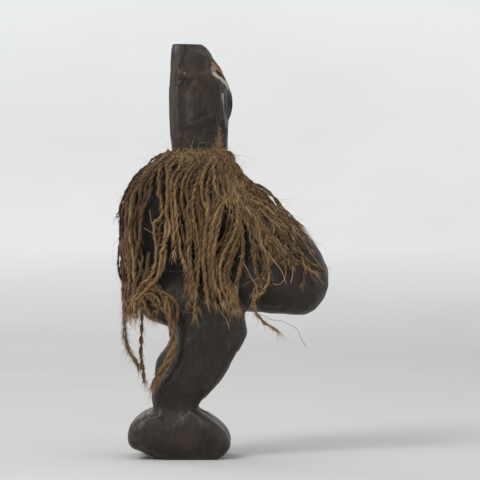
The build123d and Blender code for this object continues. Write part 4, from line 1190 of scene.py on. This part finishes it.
# ------------------------------------------------------------------ strands
# yarns in a strand, their diameter, distance from its line, turn length, plies
STRAND_LAY = {"strand_hip": (3, 2.0, 1.25, 34.0, 3), "strand_back": (2, 1.5, 0.62, 15.0, 2),
              "strand_back_frayed": (2, 1.25, 0.72, 19.0, 2),
              "strand_below_belly": (2, 1.35, 0.5, 13.0, 2),
              "strand_over_belly": (1, 1.5, 0.0, 12.0, 2),
              "neck_cord_tail": (1, 1.1, 0.0, 9.0, 2)}
STRANDS = []
cord_lines = spline_points([np.array(p) * MM for _, _, _, p in CORDS])
r_str = np.random.default_rng(33)
for (name, dia, bod, route), line in zip(CORDS, cord_lines):
    b, f = Build(), Build()
    tone = {"strand_back": 0.16, "strand_back_frayed": 0.26, "strand_hip": 0.40,
            "neck_cord_tail": 0.38}.get(name, 0.48)
    p, s = by_length(line / MM, 0.9)
    lay = STRAND_LAY[name]
    away = frames(p)
    whirl = r_str.uniform(0, 6.28) + 2 * math.pi * s / lay[3]
    for k in range(lay[0]):
        ph = whirl + 2 * math.pi * k / lay[0] + 0.5 * noise1(len(p), 12, r_str)
        off = lay[2] * (1 + 0.2 * noise1(len(p), 10, r_str)) * (lay[0] > 1)
        if k == 0:          # one of them keeps to the strand's own end
            off = off * (0.15 + 0.85 * smooth(s[-1] - s, 0, 9))
        q = p + (off * np.cos(ph))[:, None] * away[1] + (off * np.sin(ph))[:, None] * away[2]
        yarn(b, q, lay[1], r_str, tone + 0.08 * r_str.normal(), plies=lay[4],
             pitch=11.0, fray=2.0 if k else 0.6, wob=0.10 if k else 0.03, shade=False)
    ob = new_object(name + "_yarn", b.mesh(name + "_yarn"))
    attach(ob, bod)
    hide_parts(name)
    frizz(f, p, s, dia, r_str, per_mm={"strand_back_frayed": 7.0, "neck_cord_tail": 0.8,
                                      "strand_hip": 5.5}.get(
        name, 2.4), length=(2.0, 6.0), tone=tone - 0.04, brush=4 if name == "neck_cord_tail" else 16,
        thick=0.13)
    fz = new_object(name + "_loose_fibres", f.mesh(name + "_loose_fibres"))
    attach(fz, bod)
    STRANDS += [ob, fz]

# ------------------------------------------------------------------ the collar
RING_Z = 184.6


def outline(off, n=400):
    """The neck's outline at the collar, grown by off, as points."""
    th = np.linspace(0, 2 * math.pi, n, endpoint=False)
    hx, hy, rad = 17.4 + off, 13.6 + off, 6.5 + off
    out = []
    for a in th:
        c, s_ = math.cos(a), math.sin(a)
        lo, hi = 0.0, 40.0
        for _ in range(22):
            m_ = (lo + hi) / 2
            qx, qy = abs(m_ * c) - (hx - rad), abs(m_ * s_) - (hy - rad)
            d = math.hypot(max(qx, 0), max(qy, 0)) + min(max(qx, qy), 0) - rad
            lo, hi = (m_, hi) if d < 0 else (lo, m_)
        out.append((AX + lo * c, lo * s_, RING_Z))
    return np.array(out)


ring = outline(1.1)
b = Build()
closed = np.concatenate([ring, ring[:2]])
yarn(b, closed, 1.35, r_str, 0.3, plies=2, pitch=4.0, sides=6, step=0.6, fray=0.1,
     wob=0.02)
cord_ob = new_object("neck_cord_laid", b.mesh("neck_cord_laid"))
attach(cord_ob, "carving")
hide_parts("neck_cord")

# each yarn is doubled over the cord: the loops of the lark's head knots
b, f = Build(), Build()
loops = []
n_loop = 52
for k in range(n_loop):
    th = 2 * math.pi * (k + 0.5) / n_loop + r_str.normal() * 0.02
    c, s_ = math.cos(th), math.sin(th)
    i = int(round(th / (2 * math.pi) * 400)) % 400
    q = ring[i] - np.array((0, 0, 1.5 * smooth(abs(ring[i][0] - AX), 12.0, 17.0)))
    tx, ty = -s_, c
    w = r_str.uniform(0.5, 0.9)
    dz = r_str.normal() * 0.8
    lean = r_str.normal() * 0.5
    loop = [(-0.2, -w, -2.4), (-0.4, -w, -0.6), (-0.1, -w * 0.7, 0.7),
            (0.3, 0.0 + lean, 1.2 + dz), (0.8, w * 0.7, 0.5), (1.0, w + lean, -1.2),
            (1.0, w, -3.2)]
    loops.append([np.array((q[0] + o * c + t_ * tx, q[1] + o * s_ + t_ * ty, q[2] + h))
                  for o, t_, h in loop])
    bar = [(0.7, -2.2, 0.1 + dz), (1.2, -0.7, -0.2 - dz), (1.2, 0.9, -1.1), (0.7, 2.3, 0.1)]
    if r_str.random() < 0.5:
        bar = [(0.6, -1.5, -2.6), (1.2, -0.5, -0.8 + dz), (1.1, 0.9, 0.4), (0.5, 2.4, -1.8)]
    loops.append([np.array((q[0] + o * c + t_ * tx, q[1] + o * s_ + t_ * ty,
                            q[2] + h - 0.6)) for o, t_, h in bar])
loop_lines = spline_points([np.array(q) * MM for q in loops], 8)
for line in loop_lines:
    p, s = yarn(b, line / MM, float(r_str.uniform(1.5, 2.0)), r_str,
                float(np.clip(r_str.normal(0.46, 0.12), 0.2, 0.8)), plies=2, pitch=9.0,
                fray=1.5, start_fray=1.5, step=0.7, wob=0.12)
    frizz(f, p, s, 2.0, r_str, per_mm=0.9, length=(1.5, 4.5), tone=0.6)
# a loose tuft stands up along the front of the neck
m_ = 110
off = r_str.normal(size=m_) * 1.7
base = np.stack([-3.4 + off, -14.0 + r_str.normal(size=m_) * 0.35,
                 r_str.uniform(183.5, 187.5, m_)], 1)
d = np.stack([r_str.normal(size=m_) * 0.16 + 0.12 - off * 0.03,
              r_str.normal(size=m_) * 0.05 - 0.03, np.full(m_, 1.0)], 1)
hairs(f, base, d, r_str.uniform(0.35, 1.0, m_) * (3.0 + 9.5 * np.exp(-(off / 1.4) ** 2)),
      r_str, 0.42, sag=0.0, curl=0.35)
knots_ob = new_object("collar_knots_laid", b.mesh("collar_knots_laid"))
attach(knots_ob, "carving")
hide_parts("collar_knots")
knots_fz = new_object("collar_loose_fibres", f.mesh("collar_loose_fibres"))
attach(knots_fz, "carving")

# the cord's own knot at the front
b = Build()
turns = []
for k, (hh, tilt) in enumerate(((179.4, 0.5), (180.5, -0.4), (181.4, 0.2))):
    a = np.linspace(0, 2 * math.pi * 0.97, 15) + k
    turns.append([np.array((5.9 + 0.75 * math.cos(q), -0.7 + 1.7 * math.sin(q),
                            hh + tilt * math.sin(q + 0.6))) for q in a])
turns.append([np.array(q) for q in ((5.6, -2.2, 179.8), (6.6, -0.9, 180.9),
                                    (6.5, 0.6, 180.2), (5.7, 1.5, 179.2))])
for line in spline_points([np.array(q) * MM for q in turns], 6):
    yarn(b, line / MM, 1.25, r_str, 0.3, plies=2, pitch=4.0, step=0.5, fray=0.6,
         start_fray=0.6, wob=0.03)
knot_ob = new_object("neck_cord_knot_tied", b.mesh("neck_cord_knot_tied"))
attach(knot_ob, "carving")
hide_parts("neck_cord_knot")


# ------------------------------------------------------------------ materials
class Nodes:
    def __init__(self, name):
        self.mat = bpy.data.materials.new(name)
        self.mat.use_nodes = True
        self.t = self.mat.node_tree
        self.t.nodes.clear()
        self.out = self.t.nodes.new("ShaderNodeOutputMaterial")
        self.p = self.t.nodes.new("ShaderNodeBsdfPrincipled")
        self.t.links.new(self.p.outputs[0], self.out.inputs[0])

    def new(self, kind, **props):
        n = self.t.nodes.new("ShaderNode" + kind)
        for k, v in props.items():
            setattr(n, k, v)
        return n

    def link(self, a, b):
        self.t.links.new(a, b)

    def attr(self, name, out="Fac"):
        n = self.new("Attribute", attribute_name=name)
        return n.outputs[out]

    def noise(self, vec, scale, detail=4.0, rough=0.55, distort=0.0):
        n = self.new("TexNoise")
        n.inputs["Scale"].default_value = scale
        n.inputs["Detail"].default_value = detail
        n.inputs["Roughness"].default_value = rough
        n.inputs["Distortion"].default_value = distort
        self.link(vec, n.inputs["Vector"])
        return n.outputs["Fac"]

    def scaled(self, vec, sc):
        n = self.new("Mapping")
        n.inputs["Scale"].default_value = sc
        self.link(vec, n.inputs["Vector"])
        return n.outputs["Vector"]

    def ramp(self, fac, stops, interp="LINEAR"):
        n = self.new("ValToRGB")
        n.color_ramp.interpolation = interp
        e = n.color_ramp.elements
        while len(e) < len(stops):
            e.new(0.5)
        for el, (pos, col) in zip(e, stops):
            el.position = pos
            el.color = (*col, 1.0) if len(col) == 3 else col
        self.link(fac, n.inputs["Fac"])
        return n.outputs["Color"]

    def between(self, val, lo, hi, a=0.0, b=1.0):
        n = self.new("MapRange", interpolation_type="SMOOTHSTEP")
        n.inputs["From Min"].default_value = lo
        n.inputs["From Max"].default_value = hi
        n.inputs["To Min"].default_value = a
        n.inputs["To Max"].default_value = b
        self.link(val, n.inputs["Value"])
        return n.outputs["Result"]

    def math(self, op, a, b):
        n = self.new("Math", operation=op)
        for k, x in enumerate((a, b)):
            if isinstance(x, (int, float)):
                n.inputs[k].default_value = x
            else:
                self.link(x, n.inputs[k])
        return n.outputs[0]

    def mix(self, fac, a, b, mode="MIX"):
        n = self.new("Mix", data_type="RGBA", blend_type=mode)
        if isinstance(fac, (int, float)):
            n.inputs[0].default_value = fac
        else:
            self.link(fac, n.inputs[0])
        for k, x in ((6, a), (7, b)):
            if isinstance(x, tuple):
                n.inputs[k].default_value = (*x, 1.0)
            else:
                self.link(x, n.inputs[k])
        return n.outputs[2]

    def bump(self, height, dist, strength=1.0, under=None):
        n = self.new("Bump")
        n.inputs["Distance"].default_value = dist
        n.inputs["Strength"].default_value = strength
        self.link(height, n.inputs["Height"])
        if under is not None:
            self.link(under, n.inputs["Normal"])
        return n.outputs["Normal"]


def wood_material():
    m = Nodes("dark_stained_wood")
    co = m.new("TexCoord").outputs["Object"]
    grain_v = m.scaled(co, (1.0, 1.0, 0.09))
    grain = m.noise(grain_v, 900.0, 5.0, 0.62, 0.4)
    broad = m.noise(m.scaled(co, (1.0, 1.0, 0.35)), 42.0, 3.0)
    mott = m.noise(co, 210.0, 4.0, 0.6)
    base = m.ramp(grain, ((0.30, (0.0068, 0.0046, 0.0029)), (0.52, (0.0138, 0.0094, 0.0056)),
                          (0.75, (0.027, 0.0180, 0.0108))))
    red = m.between(broad, 0.50, 0.72)
    base = m.mix(m.math("MULTIPLY", red, 0.45), base, (0.038, 0.021, 0.0145))
    # worn paler along the edges and in rubbed patches
    edge = m.between(m.math("ADD", m.attr("proud"), m.math("MULTIPLY", mott, 0.16)),
                     0.22, 0.50)
    worn = m.math("MULTIPLY", edge, m.between(mott, 0.30, 0.70))
    base = m.mix(m.math("MULTIPLY", worn, 0.50), base, (0.072, 0.054, 0.040))
    # painted shade: darker in the small hollows of the carving
    hollow_shade = m.between(m.attr("crisp"), 0.0, -0.09)
    base = m.mix(m.math("MULTIPLY", hollow_shade, 0.28), base, (0.006, 0.005, 0.004))
    # the feet are rubbed reddish
    sep = m.new("SeparateXYZ")
    m.link(co, sep.inputs[0])
    foot = m.between(sep.outputs["Z"], 0.036, 0.018)
    patch = m.between(m.noise(m.scaled(co, (1, 1, 1.6)), 70.0, 4.0, 0.6), 0.47, 0.66)
    base = m.mix(m.math("MULTIPLY", m.math("MULTIPLY", foot, patch), 0.40), base,
                 (0.050, 0.025, 0.017))
    # redder high on the head, and dusty in places
    high = m.between(sep.outputs["Z"], 0.212, 0.228)
    warm = m.between(m.noise(m.scaled(co, (1, 1, 0.8)), 95.0, 4.0, 0.6), 0.44, 0.62)
    base = m.mix(m.math("MULTIPLY", m.math("MULTIPLY", high, warm), 0.65), base,
                 (0.045, 0.0205, 0.0125))
    # painted highlight: paler along the head's side band and back edge
    painted_highlight_band = m.math("MULTIPLY", m.between(m.attr("painted_highlight"), 3.4, 0.4), m.between(mott, 0.30, 0.60))
    base = m.mix(m.math("MULTIPLY", painted_highlight_band, 0.50), base, (0.078, 0.070, 0.062))
    dust = m.math("MULTIPLY", m.between(m.noise(co, 1900.0, 2.0, 0.5), 0.60, 0.70),
                  m.between(m.noise(co, 38.0, 3.0, 0.6), 0.48, 0.62))
    base = m.mix(m.math("MULTIPLY", dust, 0.40), base, (0.10, 0.087, 0.070))
    # painted shadow: the wood is painted near black where the cape covers it
    base = m.mix(m.math("MULTIPLY", m.attr("under_cape"), 0.9), base,
                 (0.0035, 0.0028, 0.0022))
    # touches of paint on the face, and painted shade in the ear's nick; each field is a distance in
    # millimetres
    rag = m.math("MULTIPLY", m.math("SUBTRACT", m.noise(co, 850.0, 3.0, 0.6), 0.5), 1.5)
    chips = m.noise(co, 1500.0, 3.0, 0.65)

    def paint(base, key, colour, wear, soft=0.22):
        d = m.math("ADD", m.attr(key), rag)
        mask = m.math("MULTIPLY", m.between(d, soft, -soft),
                      m.between(chips, wear - 0.05, wear + 0.07))
        return m.mix(mask, base, colour), mask

    base, _ = paint(base, "white", (0.20, 0.17, 0.13), 0.36)
    base, _ = paint(base, "pupil", (0.006, 0.0055, 0.005), 0.20)
    base, ok1 = paint(base, "orange", (0.27, 0.095, 0.032), 0.42)
    base, ok2 = paint(base, "cream", (0.36, 0.31, 0.235), 0.37)
    base, ok3 = paint(base, "edge", (0.34, 0.295, 0.225), 0.44)
    base, _ = paint(base, "under", (0.007, 0.006, 0.005), 0.30)
    # painted shade in the ear's nick
    base, _ = paint(base, "nick_shade", (0.009, 0.0052, 0.004), 0.15, 0.5)
    m.link(base, m.p.inputs["Base Color"])
    fine_n = m.noise(co, 2600.0, 3.0, 0.6)
    rough = m.between(m.math("ADD", m.math("MULTIPLY", mott, 0.6),
                             m.math("MULTIPLY", grain, 0.5)), 0.30, 0.80, 0.29, 0.56)
    rough = m.math("ADD", rough, m.math("MULTIPLY", m.attr("under_cape"), 0.4))
    m.link(rough, m.p.inputs["Roughness"])
    m.p.inputs["Specular IOR Level"].default_value = 0.31
    b0 = m.bump(m.noise(m.scaled(co, (1.0, 1.0, 0.55)), 170.0, 3.0, 0.55, 0.3), 0.0011, 0.55)
    b1 = m.bump(grain, 0.00022, 0.8, b0)
    b2 = m.bump(fine_n, 0.00006, 0.6, b1)
    pits = m.between(m.noise(m.scaled(co, (1, 1, 0.4)), 420.0, 2.0, 0.5), 0.66, 0.78)
    b3 = m.bump(m.math("MULTIPLY", pits, -1.0), 0.00035, 0.7, b2)
    m.link(b3, m.p.inputs["Normal"])
    return m.mat


def fibre_material(name, dark, mid, light, gain=1.0, fuzz=False):
    m = Nodes(name)
    fib = m.attr("fib", "Vector")
    tone = m.attr("tone")
    tip = m.attr("tip")
    streak = m.noise(m.scaled(fib, (2.4, 2.4, 2.2)), 2.0, 5.0, 0.72)
    fleck = m.noise(m.scaled(fib, (1.0, 1.0, 3.0)), 0.9, 2.0, 0.5)
    v = m.math("ADD", m.math("MULTIPLY", m.math("SUBTRACT", streak, 0.5), 1.7),
               m.math("MULTIPLY", tone, 1.0))
    v = m.math("ADD", v, m.math("MULTIPLY", m.math("SUBTRACT", fleck, 0.5), 0.55))
    v = m.math("ADD", v, m.math("MULTIPLY", tip, 0.12))
    col = m.ramp(v, ((0.08, dark), (0.50, mid), (0.92, light)))
    hue = m.noise(m.scaled(fib, (0.35, 0.35, 1.3)), 1.0, 2.0, 0.5)
    col = m.mix(m.between(hue, 0.52, 0.36), col, (0.95, 0.83, 0.74), "MULTIPLY")
    col = m.mix(m.between(hue, 0.52, 0.66), col, (1.20, 1.18, 1.12), "MULTIPLY")
    # painted shade: the open attribute darkens the yarns' inner sides and the yarns lying close to
    # the carving
    deep = m.ramp(m.attr("open"), ((0.0, (0.10, 0.085, 0.075)), (0.5, (0.50, 0.47, 0.45)),
                                   (1.0, (1.0, 1.0, 1.0))))
    col = m.mix(1.0, col, deep, "MULTIPLY")
    m.link(col, m.p.inputs["Base Color"])
    m.p.inputs["Roughness"].default_value = 0.72 if fuzz else 0.86
    m.p.inputs["Specular IOR Level"].default_value = 0.35 if fuzz else 0.22
    m.p.inputs["Sheen Weight"].default_value = 0.15
    m.p.inputs["Sheen Roughness"].default_value = 0.5
    m.p.inputs["Sheen Tint"].default_value = (0.9, 0.8, 0.65, 1)
    if not fuzz:
        m.link(m.bump(streak, 0.00042, 0.9), m.p.inputs["Normal"])
    return m.mat


wood = wood_material()
fibre = fibre_material("raw_fibre_yarn", (0.060, 0.030, 0.012), (0.215, 0.124, 0.046),
                       (0.43, 0.280, 0.120))
fluff = fibre_material("raw_fibre_loose", (0.085, 0.040, 0.018), (0.29, 0.175, 0.078),
                       (0.52, 0.36, 0.19), fuzz=True)
dark = fibre_material("dark_neck_cord", (0.006, 0.005, 0.0045), (0.020, 0.017, 0.0145),
                      (0.055, 0.045, 0.036))
body.data.materials.clear()
body.data.materials.append(wood)
for ob in bpy.data.objects:
    if ob.type != "MESH" or ob.name in frame["nodes"] or ob == body:
        continue
    if ob.name.endswith("_loose_fibres"):
        ob.data.materials.append(fluff)
    elif ob.name in ("neck_cord_laid", "neck_cord_knot_tied"):
        ob.data.materials.append(dark)
    else:
        ob.data.materials.append(fibre)
for name, ob in frame["nodes"].items():
    keep = wood if name == "carved_figure" else dark if name in (
        "neck_cord", "neck_cord_knot") else fibre
    for k in range(max(1, len(ob.material_slots))):
        if ob.material_slots:
            ob.material_slots[k].link = "OBJECT"
            ob.material_slots[k].material = keep

# ------------------------------------------------------------------ the stage
prof = [(0.0, 0.0)]
FLAT, WALL = 1.25, 4.2
for k in range(1, 9):
    prof.append((FLAT * k / 8, 0.0))
for k in range(1, 17):
    a = math.pi / 2 * k / 16
    prof.append((FLAT + (WALL - FLAT) * math.sin(a), (WALL - FLAT) * (1 - math.cos(a))))
prof.append((WALL, 3.2))
prof.append((WALL, 3.6))
bm = bmesh.new()
rings = []
NS = 72
for q, h in prof:
    if q == 0:
        rings.append([bm.verts.new((0, 0, 0))])
        continue
    rings.append([bm.verts.new((q * math.cos(2 * math.pi * k / NS),
                                q * math.sin(2 * math.pi * k / NS), h))
                  for k in range(NS)])
for k in range(NS):
    bm.faces.new((rings[0][0], rings[1][k], rings[1][(k + 1) % NS]))
for a, b_ in zip(rings[1:], rings[2:]):
    for k in range(NS):
        bm.faces.new((a[k], b_[k], b_[(k + 1) % NS], a[(k + 1) % NS]))
stage_me = bpy.data.meshes.new("studio")
bm.to_mesh(stage_me)
bm.free()
stage_me.polygons.foreach_set("use_smooth", np.ones(len(stage_me.polygons), bool))
studio = new_object("studio", stage_me)
sm = Nodes("studio_paint_and_shade")
co = sm.new("TexCoord").outputs["Object"]
sep = sm.new("SeparateXYZ")
sm.link(co, sep.inputs[0])
# painted shade: the floor is painted darker and the wall paler upwards, as the light falls off
# towards the bottom
painted_falloff = sm.ramp(sep.outputs["Z"], ((0.0, (0.50, 0.50, 0.49)), (0.12, (0.76, 0.765, 0.755)),
                                  (0.62, (0.90, 0.905, 0.895))))
speck = sm.ramp(sm.noise(co, 3.0, 2.0), ((0.3, (0.95, 0.95, 0.95)), (0.7, (1.0, 1.0, 1.0))))
sm.link(sm.mix(1.0, painted_falloff, speck, "MULTIPLY"), sm.p.inputs["Base Color"])
sm.p.inputs["Roughness"].default_value = 0.85
sm.p.inputs["Specular IOR Level"].default_value = 0.15
studio.data.materials.append(sm.mat)


def area(name, place_, target, size, power, colour=(1, 1, 1)):
    li = bpy.data.lights.new(name, "AREA")
    li.shape = "DISK"
    li.size = size
    li.energy = power
    li.color = colour
    ob = bpy.data.objects.new(name, li)
    ob.location = place_
    d = Vector(target) - Vector(place_)
    ob.rotation_euler = d.to_track_quat("-Z", "Y").to_euler()
    coll.objects.link(ob)
    return ob


area("key", (-1.05, -1.25, 1.35), (0, 0, 0.12), 0.75, 26.0, (1.0, 0.99, 0.97))
area("fill", (1.5, -1.2, 0.9), (0, 0, 0.12), 1.3, 4.0, (0.96, 0.98, 1.0))
area("rim", (-0.9, 1.4, 1.3), (0, 0, 0.15), 0.9, 6.0)
world = bpy.data.worlds.new("World")
scene.world = world
world.use_nodes = True
bg = world.node_tree.nodes["Background"]
bg.inputs[0].default_value = (0.955, 0.97, 0.99, 1)
bg.inputs[1].default_value = 1.0
scene.view_settings.view_transform = "Standard"
